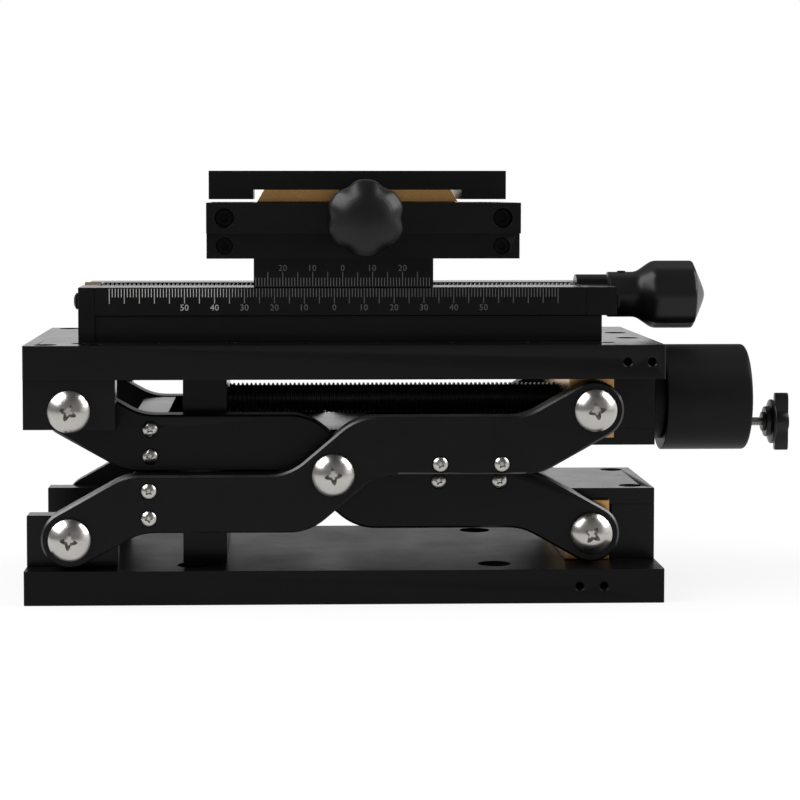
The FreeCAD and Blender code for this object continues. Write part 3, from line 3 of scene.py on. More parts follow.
import json
import math
import bmesh
import bpy
import numpy as np
from bpy.props import FloatProperty, FloatVectorProperty, IntProperty, PointerProperty
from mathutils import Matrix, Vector


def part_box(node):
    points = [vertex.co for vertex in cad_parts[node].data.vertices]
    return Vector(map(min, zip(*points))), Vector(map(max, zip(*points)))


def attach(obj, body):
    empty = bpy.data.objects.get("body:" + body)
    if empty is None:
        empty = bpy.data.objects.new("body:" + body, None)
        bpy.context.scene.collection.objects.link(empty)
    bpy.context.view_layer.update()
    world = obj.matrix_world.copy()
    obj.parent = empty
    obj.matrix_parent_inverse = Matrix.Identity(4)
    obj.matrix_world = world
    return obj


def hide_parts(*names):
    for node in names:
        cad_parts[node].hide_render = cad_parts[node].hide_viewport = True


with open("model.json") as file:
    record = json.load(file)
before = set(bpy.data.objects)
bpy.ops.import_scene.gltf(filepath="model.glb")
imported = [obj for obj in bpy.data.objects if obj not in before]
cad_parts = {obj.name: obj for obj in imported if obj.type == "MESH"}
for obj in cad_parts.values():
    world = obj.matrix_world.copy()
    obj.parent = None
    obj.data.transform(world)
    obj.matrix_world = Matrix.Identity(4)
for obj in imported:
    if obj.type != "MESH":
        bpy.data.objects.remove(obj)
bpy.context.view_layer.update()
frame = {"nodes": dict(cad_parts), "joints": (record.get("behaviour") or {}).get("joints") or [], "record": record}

bl_info = {
    "name": "Three-axis stage dressing",
    "version": (1, 0, 0),
    "blender": (4, 5, 0),
    "location": "View3D > Sidebar > Stage",
    "description": "Builds the screws, knobs, rules and finishes of a manual three-axis stage",
    "category": "Add Mesh",
}

MM = 0.001
TIP = 0.5 * MM  # radius left at the axis, which a fan closes
ROUNDING = 1e-4  # share of a step that single-precision sizes may be off by
SHARP_ANGLE = 34  # degrees between faces from which an edge is shaded sharp


def span(node):
    """Lowest and highest corner of a node as arrays."""
    low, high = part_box(node)
    return np.array(low), np.array(high)


def middle(node):
    """Middle of a node's box."""
    low, high = span(node)
    return (low + high) / 2


def joint_place(name):
    """A point on a joint's axis."""
    found = next(joint for joint in frame["joints"] if joint["name"] == name)
    return np.array(found["pos_m"])


# ---------------------------------------------------------------- sizes and colours


def length(name, description, millimetres):
    """A size that shows in the sidebar, given in millimetres."""
    return FloatProperty(name=name, description=description, default=millimetres * MM,
                         min=0.0, precision=5, unit="LENGTH")


def ratio(name, description, value):
    """A ratio that shows in the sidebar."""
    return FloatProperty(name=name, description=description, default=value, min=0.0, max=1.0)


def brightness(name, description, value):
    """A brightness, or a lamp's power in watts, that shows in the sidebar."""
    return FloatProperty(name=name, description=description, default=value, min=0.0)


def colour(name, description, value):
    """A colour that shows in the sidebar."""
    return FloatVectorProperty(name=name, description=description, default=value,
                               subtype="COLOR", size=3, min=0.0, max=1.0)


class StageScrewSizes(bpy.types.PropertyGroup):
    """Domed, small and socket screws."""

    pivot_head: length("Pivot head", "Diameter of the big domed heads", 13.8)
    pivot_height: length("Pivot head height", "Height of the big domed heads", 5.0)
    pivot_dome: length("Pivot dome", "How far the big heads are crowned", 3.3)
    pivot_edge: length("Pivot edge", "Broken edge of the big heads", 0.18)
    pivot_shank: length("Pivot shank", "Radius of the big screws' shanks", 4.0)
    pivot_cross: length("Pivot cross", "Half the span of the big cross recess", 2.95)
    pivot_cross_arm: length("Pivot cross arm", "Half the width of one recess arm", 1.05)
    pivot_recess: length("Pivot recess", "Depth of the big cross recess", 2.6)
    pivot_taper: ratio("Pivot taper", "Width of the big recess's floor over its mouth", 0.5)
    arm_head: length("Arm head", "Diameter of the small heads in the arms", 4.9)
    arm_height: length("Arm head height", "Height of the small heads", 2.0)
    arm_dome: length("Arm dome", "How far the small heads are crowned", 1.1)
    arm_edge: length("Arm edge", "Broken edge of the small heads", 0.08)
    arm_shank: length("Arm shank", "Radius of the small screws' shanks", 1.5)
    arm_cross: length("Arm cross", "Half the span of the small cross recess", 1.35)
    arm_cross_arm: length("Arm cross arm", "Half the width of one small recess arm", 0.5)
    arm_recess: length("Arm recess", "Depth of the small cross recess", 1.2)
    arm_taper: ratio("Arm taper", "Width of the small recess's floor over its mouth", 0.55)
    set_radius: length("Set screw", "Radius of the X knob's set screw", 1.5)
    set_hex: length("Set screw socket", "Half the width across the socket's flats", 0.75)
    set_recess: length("Set screw recess", "Depth of the socket's straight part", 1.2)


class StageThreadSizes(bpy.types.PropertyGroup):
    """Rolled threads."""

    lift_pitch: length("Lift pitch", "Pitch of the lift screw and the X screw", 1.5)
    y_pitch: length("Y pitch", "Pitch of the Y screw", 1.0)
    stud_pitch: length("Stud pitch", "Pitch of the crank stud", 0.5)
    depth_share: ratio("Depth share", "Thread depth over pitch", 0.5)
    run_out: length("Run-out", "Plain shaft left at each end of a thread", 0.3)
    lift_journal: length("Lift journal", "Radius of the lift screw's journals", 4.0)
    x_journal: length("X journal", "Radius of the X screw's journals", 3.0)
    stud_journal: ratio("Stud journal", "Radius of the stud's ends over its crest", 0.86)


class StageKnobSizes(bpy.types.PropertyGroup):
    """Knobs and the crank grip."""

    lift_bore: length("Lift bore", "Radius of the lift knob's and hub's bores", 4.0)
    lift_back: length("Lift knob back", "Rounding of the lift knob's inner rim", 0.3)
    lift_round: length("Lift knob rim", "Rounding of the lift knob's rim", 1.2)
    lift_crown: length("Lift knob crown", "Rise of the lift knob's end face", 0.8)
    lift_face: length("Lift knob face", "Radius of the flat middle of the end face", 9.0)
    hub_step: length("Hub step", "How much the hub's neck is smaller in radius", 1.2)
    knob_bore: length("Knob bore", "Radius of the X and Y knobs' bores", 3.1)
    x_neck: length("X neck", "Radius of the X knob's neck", 7.85)
    x_neck_end: length("X neck end", "Where the X knob's neck ends", 9.9)
    x_grip_start: length("X grip start", "Where the X knob's grip begins", 15.5)
    x_round: length("X round", "Rounding between the neck, the grip and the tip", 1.6)
    x_flute: length("X flute", "Depth of the X knob's flutes", 0.4)
    x_flutes: IntProperty(name="X flutes", description="Number of flutes", default=8, min=3)
    x_crown: length("X crown", "Length of the X knob's coned end", 4.5)
    x_tip: length("X tip", "Radius where the X knob's cone turns flat", 2.4)
    y_neck: length("Y neck", "Radius of the Y knob's neck", 7.0)
    y_neck_end: length("Y neck end", "Where the Y knob's neck ends", 9.7)
    y_flute: length("Y flute", "Depth of the Y knob's scallops", 1.1)
    y_crown: length("Y crown", "Rise of the Y knob's domed end", 5.6)
    y_lobes: IntProperty(name="Y lobes", description="Number of lobes", default=6, min=3)
    crank_bore: length("Crank bore", "Radius of the crank grip's bore", 1.6)
    crank_collar: length("Crank collar", "Radius of the collar next to the stud", 3.3)
    crank_collar_end: length("Crank collar end", "Where the collar ends", 1.0)
    crank_hub: length("Crank hub", "Radius of the hub where it begins", 5.2)
    crank_hub_end: length("Crank hub end", "Where the hub ends", 2.5)
    crank_hub_wide: length("Crank hub end radius", "Radius of the hub where it ends", 5.4)
    crank_flare: length("Crank flare", "Radius of the flare", 7.7)
    crank_flare_start: length("Crank flare start", "Where the flare is first full", 3.0)
    crank_flare_end: length("Crank flare end", "Where the flare ends", 4.0)
    crank_neck: length("Crank neck", "Radius of the neck behind the bar", 2.9)
    crank_edge: length("Crank edge", "Rounding of the cross bar's edges", 0.25)
    crank_bar: length("Crank bar", "Width of the crank grip's cross bar", 3.4)
    crank_boss: length("Crank boss", "Diameter of the boss in the middle of the bar", 6.8)
    crank_thick: length("Crank bar thickness", "Thickness of the cross bar along X", 4.6)


class StageRuleSizes(bpy.types.PropertyGroup):
    """Engraved millimetre rules."""

    zero_x: length("Rule zero", "How far left of the middle the long rule's zero lies", 3.1)
    carriage_zero: length("Carriage zero", "How far left the carriage rule's zero lies", 0.3)
    inset: length("Inset", "From the marks' ends to the line where the rules meet", 0.35)
    short_mark: length("Short mark", "Length of a one-millimetre mark", 2.9)
    long_mark: length("Long mark", "Length of a five-millimetre mark", 5.0)
    carriage_less: length("Carriage less", "How much shorter the carriage's long marks are", 0.2)
    mark_width: length("Mark width", "Width of a mark", 0.25)
    figure_size: length("Figure size", "Size of the figures' type", 2.9)
    rail_drop: length("Rail figures", "From the long marks to the middle of the figures", 1.35)
    carriage_rise: length("Carriage figures", "The same on the carriage", 1.15)
    sunk: length("Fill depth", "How deep the fill lies in the face", 0.05)
    proud: length("Fill height", "How far the white fill stands out", 0.02)


class StageBlockSizes(bpy.types.PropertyGroup):
    """Plates, blocks and bars."""

    broken_edge: length("Broken edge", "Width of the bevel on sharp edges", 0.3)


class StageColours(bpy.types.PropertyGroup):
    """Colours of the finishes."""

    anodised: colour("Anodised", "Black anodised aluminium", (0.0046, 0.0046, 0.0049))
    # Painted glint: the lighter grey metal that the arms' chamfers are painted, for bright lines along their
    # edges.
    rubbed: colour("Chamfer glint", "Chamfers of the arms", (0.09, 0.09, 0.092))
    nickel: colour("Nickel", "Bright plated screws", (0.74, 0.72, 0.68))
    steel: colour("Steel", "Rolled steel threads", (0.42, 0.41, 0.39))
    dark_steel: colour("Dark steel", "Blackened lift screw", (0.075, 0.075, 0.077))
    brass: colour("Brass", "Machined brass", (0.78, 0.45, 0.165))
    plastic: colour("Plastic", "Moulded knobs", (0.0045, 0.0045, 0.005))
    oxide: colour("Oxide", "Black oxide screws", (0.005, 0.005, 0.0055))
    fill: colour("Fill", "White fill of the rules", (0.50, 0.50, 0.48))
    floor: colour("Floor", "Pale floor", (0.86, 0.86, 0.86))


class StageLight(bpy.types.PropertyGroup):
    """Lamps and the room."""

    left_power: brightness("Left box", "Power of the left lamp in watts", 14.0)
    right_power: brightness("Right box", "Power of the right lamp in watts", 6.5)
    top_power: brightness("Top box", "Power of the top lamp in watts", 0.6)
    room: brightness("Room", "Soft light from all round", 0.5)
    front: brightness("Front wall", "Brightness mirrored from the front", 0.2)
    near: brightness("Near floor", "Brightness mirrored from the floor nearby", 0.62)
    right: brightness("Right wall", "Brightness mirrored from the right", 0.7)


GROUPS = {
    "stage_screws": StageScrewSizes,
    "stage_threads": StageThreadSizes,
    "stage_knobs": StageKnobSizes,
    "stage_rules": StageRuleSizes,
    "stage_blocks": StageBlockSizes,
    "stage_colours": StageColours,
    "stage_light": StageLight,
}


# ---------------------------------------------------------------- shader building


class Value:
    """A shader value that takes part in Python arithmetic."""

    def __init__(self, network, socket):
        self.network = network
        self.socket = socket

    def _math(self, operation, first, second):
        return self.network.node("ShaderNodeMath", {"operation": operation},
                                 {0: first, 1: second})

    def __add__(self, other):
        return self._math("ADD", self, other)

    def __radd__(self, other):
        return self._math("ADD", other, self)

    def __sub__(self, other):
        return self._math("SUBTRACT", self, other)

    def __rsub__(self, other):
        return self._math("SUBTRACT", other, self)

    def __mul__(self, other):
        return self._math("MULTIPLY", self, other)

    def __rmul__(self, other):
        return self._math("MULTIPLY", other, self)


class Network:
    """A tree of shader nodes."""

    def __init__(self, tree):
        self.tree = tree

    def node(self, kind, settings=None, inputs=None, output=0):
        """Add a node: its settings first, then the values or links of its sockets."""
        made = self.tree.nodes.new(kind)
        for name, value in (settings or {}).items():
            setattr(made, name, value)
        for name, value in (inputs or {}).items():
            self.link(made.inputs[name], value)
        return Value(self, made.outputs[output]) if made.outputs else None

    def link(self, socket, value):
        """Join a value to a socket, or set a plain number or colour on it."""
        if isinstance(value, Value):
            self.tree.links.new(value.socket, socket)
        else:
            socket.default_value = value

    def ramp(self, value, low, high):
        """A smooth rise from 0 at low to 1 at high."""
        return self.node("ShaderNodeMapRange", {"interpolation_type": "SMOOTHSTEP"},
                         {"Value": value, "From Min": low, "From Max": high})

    def part(self, value, letter):
        """One coordinate of a vector."""
        return self.node("ShaderNodeSeparateXYZ", {}, {0: value}, output=letter)

    def ray(self, kind):
        """1 for the rays of that kind and 0 for the rest."""
        return self.node("ShaderNodeLightPath", output="Is %s Ray" % kind)


def blank_network(owner):
    """The emptied node tree of a material or a world."""
    owner.use_nodes = True
    owner.node_tree.nodes.clear()
    return Network(owner.node_tree)


class Finish(Network):
    """One procedural material and the nodes in it."""

    def __init__(self, name, **constants):
        self.material = bpy.data.materials.new(name)
        self.material.use_nodes = True
        super().__init__(self.material.node_tree)
        self.shader = self.tree.nodes["Principled BSDF"]
        for socket, value in constants.items():
            self.shader.inputs[socket.replace("_", " ")].default_value = value

    def feed(self, name, value):
        """Join a varying value to one of the shader's own sockets."""
        self.link(self.shader.inputs[name], value)

    def place(self, stretch=(1, 1, 1)):
        """Object coordinates, squeezed along each axis by the factors given."""
        spot = self.node("ShaderNodeTexCoord", output="Object")
        return self.node("ShaderNodeMapping", {"vector_type": "POINT"},
                         {"Vector": spot, "Scale": stretch})

    def noise(self, scale, detail=2.0, stretch=(1, 1, 1), roughness=0.5):
        """Cloudy values from 0 to 1 at that many cells per metre."""
        return self.node("ShaderNodeTexNoise", {}, {
            "Vector": self.place(stretch), "Scale": scale, "Detail": detail,
            "Roughness": roughness})

    def shades(self, factor, low, high):
        """A colour between two by a factor."""
        return self.node("ShaderNodeMix", {"data_type": "RGBA"},
                         {0: factor, 6: (*low, 1), 7: (*high, 1)}, output=2)

    def paint(self, factor, value, low, high=1.0):
        """Colour the surface by a factor, from low to high times a colour."""
        self.feed("Base Color", self.shades(factor, scaled(value, low), scaled(value, high)))

    def bump(self, height, distance):
        """Feed a height, at that distance in metres, to the shader's normal."""
        self.feed("Normal", self.node("ShaderNodeBump", {}, {
            "Height": height, "Distance": distance, "Strength": 1.0}))


def scaled(value, share):
    """A colour times a share, as a tuple."""
    return tuple(channel * share for channel in value)


FINISHES = {}


def finish_of(name):
    """The material with that name, made on first use."""
    if name not in FINISHES:
        FINISHES[name] = MAKERS[name](bpy.context.scene.stage_colours)
    return FINISHES[name]


def anodised_plate(colours):
    """Black anodise over a fine blasted surface, with faint long milling marks and cloudy sheen."""
    made = Finish("black_anodised", Specular_IOR_Level=0.16)
    cloud = made.noise(70, 5.0, roughness=0.62)
    marks = made.noise(1, 3.0, stretch=(90, 2600, 2600))
    grain = made.noise(5200, 2.0)
    made.paint(cloud * 0.7 + marks * 0.3, colours.anodised, 0.6, 1.6)
    made.feed("Roughness", 0.13 + cloud * 0.1 + marks * 0.07)
    made.bump(grain * 0.7 + marks * 0.6, 0.006 * MM)
    return made.material


def anodised_base(colours):
    """Black anodise on the base plate: duller, with a soft mottle and faint long marks."""
    made = Finish("black_anodised_base", Specular_IOR_Level=0.1)
    cloud = made.noise(55, 6.0, roughness=0.66)
    marks = made.noise(1, 3.0, stretch=(70, 1900, 1900))
    grain = made.noise(4600, 2.0)
    made.paint(cloud * 0.6 + marks * 0.4, colours.anodised, 0.6, 1.5)
    made.feed("Roughness", 0.21 + cloud * 0.2 + marks * 0.08)
    made.bump(grain * 0.7 + marks * 0.6, 0.008 * MM)
    return made.material


def anodised_arm(colours):
    """Black anodise on the flat-ground arms, a little duller than the plates, with a painted
    glint: the chamfers are painted a lighter grey metal so that they shine as bright lines."""
    made = Finish("black_anodised_arm", Specular_IOR_Level=0.16)
    cloud = made.noise(110, 6.0, roughness=0.6)
    grain = made.noise(6400, 2.0)
    dust = made.noise(900, 2.0)
    chamfer = made.node("ShaderNodeAttribute", {"attribute_name": "chamfer"}, output="Fac")
    black = made.shades(cloud, scaled(colours.anodised, 0.55), scaled(colours.anodised, 1.3))
    # Painted glint: the chamfer faces are painted a lighter grey metal, in place of the bright lines that light
    # draws along the arms' edges.
    made.feed("Base Color", made.node("ShaderNodeMix", {"data_type": "RGBA"}, {
        0: chamfer * (0.5 + cloud), 6: black, 7: (*colours.rubbed, 1)}, output=2))
    made.feed("Metallic", chamfer)
    made.feed("Roughness", 0.28 + cloud * 0.12)
    made.bump(grain * 0.8 + dust * 0.4, 0.005 * MM)
    return made.material


def plated_nickel(colours):
    """Bright plating with soft orange peel and fine lines from rubbing."""
    made = Finish("bright_nickel", Metallic=1.0)
    peel = made.noise(900, 3.0)
    rubbed = made.noise(1, 4.0, stretch=(700, 700, 9000))
    stain = made.noise(260, 5.0, roughness=0.65)
    made.paint(stain, colours.nickel, 0.72)
    made.feed("Roughness", 0.13 + rubbed * 0.12 + stain * 0.1)
    made.bump(peel + rubbed * 0.25, 0.012 * MM)
    return made.material


def rolled_steel(colours):
    """Bright rolled thread with an oily film."""
    made = Finish("rolled_steel", Metallic=1.0)
    film = made.noise(320, 4.0)
    grain = made.noise(3000, 2.0)
    made.paint(film, colours.steel, 0.7)
    made.feed("Roughness", 0.22 + film * 0.16)
    made.bump(grain, 0.006 * MM)
    return made.material


def blackened_steel(colours):
    """Blackened and greased lift screw."""
    made = Finish("blackened_steel", Metallic=0.85)
    film = made.noise(240, 4.0)
    grain = made.noise(2600, 2.0)
    made.paint(film, colours.dark_steel, 0.6, 1.5)
    made.feed("Roughness", 0.3 + film * 0.15)
    made.bump(grain, 0.006 * MM)
    return made.material


def milled_brass(colours):
    """Brass with milling lines across it and darker handled patches."""
    made = Finish("milled_brass", Metallic=1.0)
    lines = made.noise(1, 3.0, stretch=(5200, 120, 900))
    patch = made.noise(120, 5.0, roughness=0.6)
    made.paint(lines * 0.4 + patch * 0.6, colours.brass, 0.62)
    made.feed("Roughness", 0.17 + patch * 0.1 + lines * 0.08)
    made.bump(lines, 0.01 * MM)
    return made.material


def moulded_plastic(colours):
    """Satin moulded plastic with a fine even texture."""
    made = Finish("moulded_plastic", Specular_IOR_Level=0.36)
    skin = made.noise(2600, 3.0)
    cloud = made.noise(160, 4.0)
    made.paint(cloud, colours.plastic, 0.8, 1.4)
    made.feed("Roughness", 0.27 + cloud * 0.08 + skin * 0.05)
    made.bump(skin, 0.014 * MM)
    return made.material


def turned_anodise(colours):
    """Black anodised turned knob: fine rings left by the tool, square to X."""
    made = Finish("turned_anodise", Specular_IOR_Level=0.14)
    rings = made.noise(1, 2.0, stretch=(7500, 4, 4))
    cloud = made.noise(90, 5.0, roughness=0.6)
    made.paint(cloud, colours.anodised, 0.9, 1.9)
    made.feed("Roughness", 0.34 + rings * 0.1 + cloud * 0.08)
    made.bump(rings, 0.006 * MM)
    return made.material


def oxide_black(colours):
    """Black oxide on socket screws, worn a little lighter in patches."""
    made = Finish("black_oxide", Metallic=0.9)
    wear = made.noise(700, 4.0, roughness=0.65)
    grain = made.noise(4200, 2.0)
    made.paint(wear, colours.oxide, 0.6, 2.2)
    made.feed("Roughness", 0.3 + wear * 0.2)
    made.bump(grain, 0.006 * MM)
    return made.material


def rule_fill(colours):
    """White fill of the engraved marks, with painted light: bright at the left end, where the light falls on it,
    and painted darker over the rest.
    """
    made = Finish("rule_fill", Specular_IOR_Level=0.2, Roughness=0.7)
    patch = made.noise(420, 3.0) * 0.3
    # Painted highlight: the fill stays bright left of X = -46 mm, where light falls on it, and is painted darker
    # right of X = -28 mm.
    rubbed = made.ramp(made.part(made.place(), "X"), -46 * MM, -28 * MM)
    made.paint(rubbed * 0.85 + patch, colours.fill, 1.0, 0.2)
    made.bump(made.noise(8000, 2.0), 0.004 * MM)
    return made.material


MAKERS = {
    "plate": anodised_plate,
    "base": anodised_base,
    "arm": anodised_arm,
    "nickel": plated_nickel,
    "steel": rolled_steel,
    "dark_steel": blackened_steel,
    "brass": milled_brass,
    "plastic": moulded_plastic,
    "turned": turned_anodise,
    "oxide": oxide_black,
    "fill": rule_fill,
}


# ---------------------------------------------------------------- surfaces


def placed(name, data):
    """A new object in the scene."""
    thing = bpy.data.objects.new(name, data)
    bpy.context.scene.collection.objects.link(thing)
    return thing


def shade(data):
    """Shade a mesh smooth, but for its sharp edges."""
    data.shade_smooth()
    data.set_sharp_from_angle(angle=math.radians(SHARP_ANGLE))


AXES = {
    "+x": np.array([(1, 0, 0), (0, 1, 0), (0, 0, 1)], float),
    "+y": np.array([(0, 1, 0), (-1, 0, 0), (0, 0, 1)], float),
    "-y": np.array([(0, -1, 0), (1, 0, 0), (0, 0, 1)], float),
    "+z": np.array([(0, 0, 1), (1, 0, 0), (0, 1, 0)], float),
}


def around(columns):
    """Evenly spaced angles once round."""
    return np.arange(columns) * (2 * math.pi / columns)


def skin(along, radius, angles):
    """Rows of points in polar form.

    Row i, column j lies at distance along[i] (or along[i, j]) on the axis and radius[i, j]
    from it, at angle j: point = (along, radius * cos(angle), radius * sin(angle))."""
    along = np.broadcast_to(along if np.ndim(along) == 2 else np.asarray(along)[:, None],
                            radius.shape)
    return np.stack([along, radius * np.cos(angles), radius * np.sin(angles)], -1)


class Mesh:
    """Points and faces gathered for one piece."""

    def __init__(self):
        self.points = []
        self.faces = []
        self.count = 0

    def add(self, points, faces):
        """Append points (n, 3) and faces that count from their first point."""
        self.points.append(np.asarray(points, float).reshape(-1, 3))
        self.faces += [tuple(int(corner) + self.count for corner in face) for face in faces]
        self.count += len(self.points[-1])

    def add_closed(self, rows, axis, origin):
        """Close rows of points into a skin: each row joined round, and a fan at each end.

        Row i is joined to row i + 1 by quads, and each end row to a point on the axis."""
        count, across = rows.shape[:2]
        start = [rows[0, :, 0].mean(), 0, 0]
        end = [rows[-1, :, 0].mean(), 0, 0]
        local = np.concatenate([rows.reshape(-1, 3), [start, end]])
        low = np.arange(count - 1)[:, None] * across
        here = np.arange(across)[None, :]
        after = (here + 1) % across
        quads = np.stack([low + here, low + after, low + across + after, low + across + here], -1)
        ring = here[0]
        following = after[0]
        first = np.stack([np.full(across, count * across), following, ring], -1)
        base = (count - 1) * across
        last = np.stack([np.full(across, count * across + 1), base + ring, base + following], -1)
        faces = quads.reshape(-1, 4).tolist() + first.tolist() + last.tolist()
        self.add(local @ AXES[axis] + np.asarray(origin), faces)

    def build(self, name, finish, body, slot, *replaced):
        """Make the piece, finish it and let it ride."""
        data = bpy.data.meshes.new(name)
        data.from_pydata(np.concatenate(self.points).tolist(), [], self.faces)
        shade(data)
        data.validate()
        return dress(placed(name, data), finish, body, slot, *replaced)


def dress(piece, finish, body, slot, *replaced):
    """Give a piece its material and its body, and hide what it stands for. The slot is not used."""
    piece.data.materials.clear()
    piece.data.materials.append(finish_of(finish))
    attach(piece, body)
    if replaced:
        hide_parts(*replaced)
    return piece


def build_skin(rows, axis, origin, name, finish, body, slot, *replaced):
    """Build a piece from one closed skin."""
    made = Mesh()
    made.add_closed(rows, axis, origin)
    return made.build(name, finish, body, slot, *replaced)


def turned(outline, columns):
    """Rows of a turned piece: the outline's radius at every angle."""
    return skin(outline[:, 0], np.repeat(outline[:, 1:], columns, 1), around(columns))


def cross_outline(angles, reach, arm):
    """A cross in polar form: from the middle of each arm the edge lies at the softened lesser
    of reach / cos and arm / sin of the angle to that arm."""
    folded = np.abs((angles + math.pi / 4) % (math.pi / 2) - math.pi / 4)
    sin = np.abs(np.sin(folded))
    return ((np.cos(folded) / reach) ** 1.8 + (sin / arm) ** 1.8) ** (-1 / 1.8)


def hex_outline(angles, apothem):
    """A hexagon in polar form: apothem / cos of the angle to the nearest flat's middle."""
    folded = (angles + math.pi / 6) % (math.pi / 3) - math.pi / 6
    return apothem / np.cos(folded)


def screw_rows(angles, size, reach, outline):
    """Rows of a screw from its tip to the floor of its recess; size holds its named sizes.

    The head's top is a ball cap: height - ball + sqrt(ball^2 - r^2). Its rows morph from the
    round rim to the recess's outline, then drop to the floor with the outline times taper."""
    height = size["height"]
    dome = size["dome"]
    edge = size["edge"]
    floor = height - size["recess"]
    taper = size["taper"]
    rim = size["head"] / 2
    ball = (rim ** 2 + dome ** 2) / (2 * dome)
    ones = np.ones_like(angles)

    def cap(radius):
        return height - ball + np.sqrt(np.maximum(ball ** 2 - radius ** 2, 0))

    rows = [(-reach * ones, size["shank"] * ones), (0 * ones, size["shank"] * ones),
            (0 * ones, (rim - edge) * ones), (edge * ones, rim * ones)]
    rows.append(((height - dome) * ones, rim * ones))
    for part in (0.06, 0.16, 0.3, 0.46, 0.62, 0.76, 0.88, 0.95, 1.0):
        radius = rim * (1 - part) + outline * part
        rows.append((cap(radius), radius))
    rows.append((cap(outline) - edge, outline * 0.96))
    rows.append(((height - size["recess"] * 0.6) * ones, outline * (1 + taper) / 2))
    rows.append((floor * ones, outline * taper))
    rows.append((floor * ones, outline * taper * 0.4))
    along = np.stack([row[0] for row in rows])
    radius = np.stack([row[1] for row in rows])
    return skin(along, radius, angles)


# ---------------------------------------------------------------- domed screws

# the body that carries each pair, and the turns of the front and the rear recess in degrees
PIVOT_SCREWS = {
    "base_pivot_screws": ("base", (83, 65)),
    "centre_pivot_screws": ("inner_arms", (8, 40)),
    "top_pivot_screws": ("top", (67, 75)),
    "lower_slider_screws": ("lower_guide", (56, 10)),
    "upper_slider_screws": ("lift_nut", (13, 33)),
}
ARM_SCREWS = {"outer_arm_screws": "outer_arms", "inner_arm_screws": "inner_arms"}
SCREW_SIZES = ("head", "height", "dome", "edge", "shank", "cross", "cross_arm", "recess", "taper")


def solids_of(node):
    """Lowest and highest corners of the separate solids in a node.

    Points in one place share a number. Each triangle gives its corners the least number among
    them, until nothing changes and every solid has one number of its own."""
    data = frame["nodes"][node].data
    places = np.empty(len(data.vertices) * 3, np.float32)
    data.vertices.foreach_get("co", places)
    places = places.reshape(-1, 3)
    data.calc_loop_triangles()
    corners = np.empty(len(data.loop_triangles) * 3, np.int32)
    data.loop_triangles.foreach_get("vertices", corners)
    shared = np.unique(places.round(6), axis=0, return_inverse=True)[1].reshape(-1)
    corners = shared[corners].reshape(-1, 3)
    numbers = np.arange(shared.max() + 1)
    settled = False
    while not settled:
        lower = numbers.copy()
        np.minimum.at(lower, corners, numbers[corners].min(1)[:, None])
        settled = np.array_equal(lower, numbers)
        numbers = lower
    solids = numbers[shared]
    boxes = [(places[solids == number].min(0), places[solids == number].max(0))
             for number in np.unique(solids)]
    return sorted(boxes, key=lambda box: box[0].round(6).tolist())


def domed_screws(sizes, kind, node, body, turn_of, columns):
    """Build a node's screws with domed heads and cross recesses, along Y and heads outward.

    kind is the prefix of their sizes, and turn_of gives a recess's turn in degrees from the
    screw's order and whether it's at the rear."""
    size = {name: getattr(sizes, kind + "_" + name) for name in SCREW_SIZES}
    angles = around(columns)
    made = Mesh()
    for order, (low, high) in enumerate(solids_of(node)):
        rear = low[1] + high[1] >= 0
        seat = max(abs(low[1]), abs(high[1])) - size["height"]
        turn = math.radians(turn_of(order, rear))
        outline = cross_outline(angles - turn, size["cross"], size["cross_arm"])
        rows = screw_rows(angles, size, high[1] - low[1] - size["height"], outline)
        centre = ((low[0] + high[0]) / 2, seat if rear else -seat, (low[2] + high[2]) / 2)
        made.add_closed(rows, "+y" if rear else "-y", centre)
    made.build(node + "_domed", "nickel", body, "nickel_screws", node)


class STAGE_OT_pivot_screws(bpy.types.Operator):
    """Build the ten big domed screws that the arms turn on"""

    bl_idname = "stage.pivot_screws"
    bl_label = "Pivot screws"

    def execute(self, context):
        for node, (body, turns) in PIVOT_SCREWS.items():
            domed_screws(context.scene.stage_screws, "pivot", node, body,
                         lambda order, rear: turns[int(rear)], 96)
        return {"FINISHED"}


class STAGE_OT_arm_screws(bpy.types.Operator):
    """Build the sixteen small screws that hold the arms' spreaders"""

    bl_idname = "stage.arm_screws"
    bl_label = "Arm screws"

    def execute(self, context):
        for node, body in ARM_SCREWS.items():
            domed_screws(context.scene.stage_screws, "arm", node, body,
                         lambda order, rear: 37 * order + 12, 64)
        return {"FINISHED"}


# ---------------------------------------------------------------- rolled screws


def thread_rows(spans, pitch, crest, depth, columns=36, per_turn=10):
    """Rows of a shaft with one threaded run.

    spans holds the journal's start, the thread's start and end and the journal's end, with the
    journal's radius. On the thread the radius is crest - depth * groove, where groove is a
    softened square wave of along / pitch - angle / (2 pi), faded over one pitch at each end."""
    start, low, high, end, journal = spans
    angles = around(columns)
    count = int(round((high - low) / pitch * per_turn)) + 1
    along = np.linspace(low, high, count)
    turns = along[:, None] / pitch - angles[None, :] / (2 * math.pi)
    wave = 0.5 - 0.95 * np.cos(2 * math.pi * turns)
    fade = np.clip(np.minimum(along - low, high - along) / pitch, 0, 1)[:, None]
    groove = np.clip(wave, 0, 1) * fade
    thread = crest - depth * groove
    plain = np.full((1, columns), journal)
    radius = np.concatenate([plain, plain, thread, plain, plain])
    places = np.concatenate([[start, low], along, [high, end]])
    return skin(places, radius, angles)


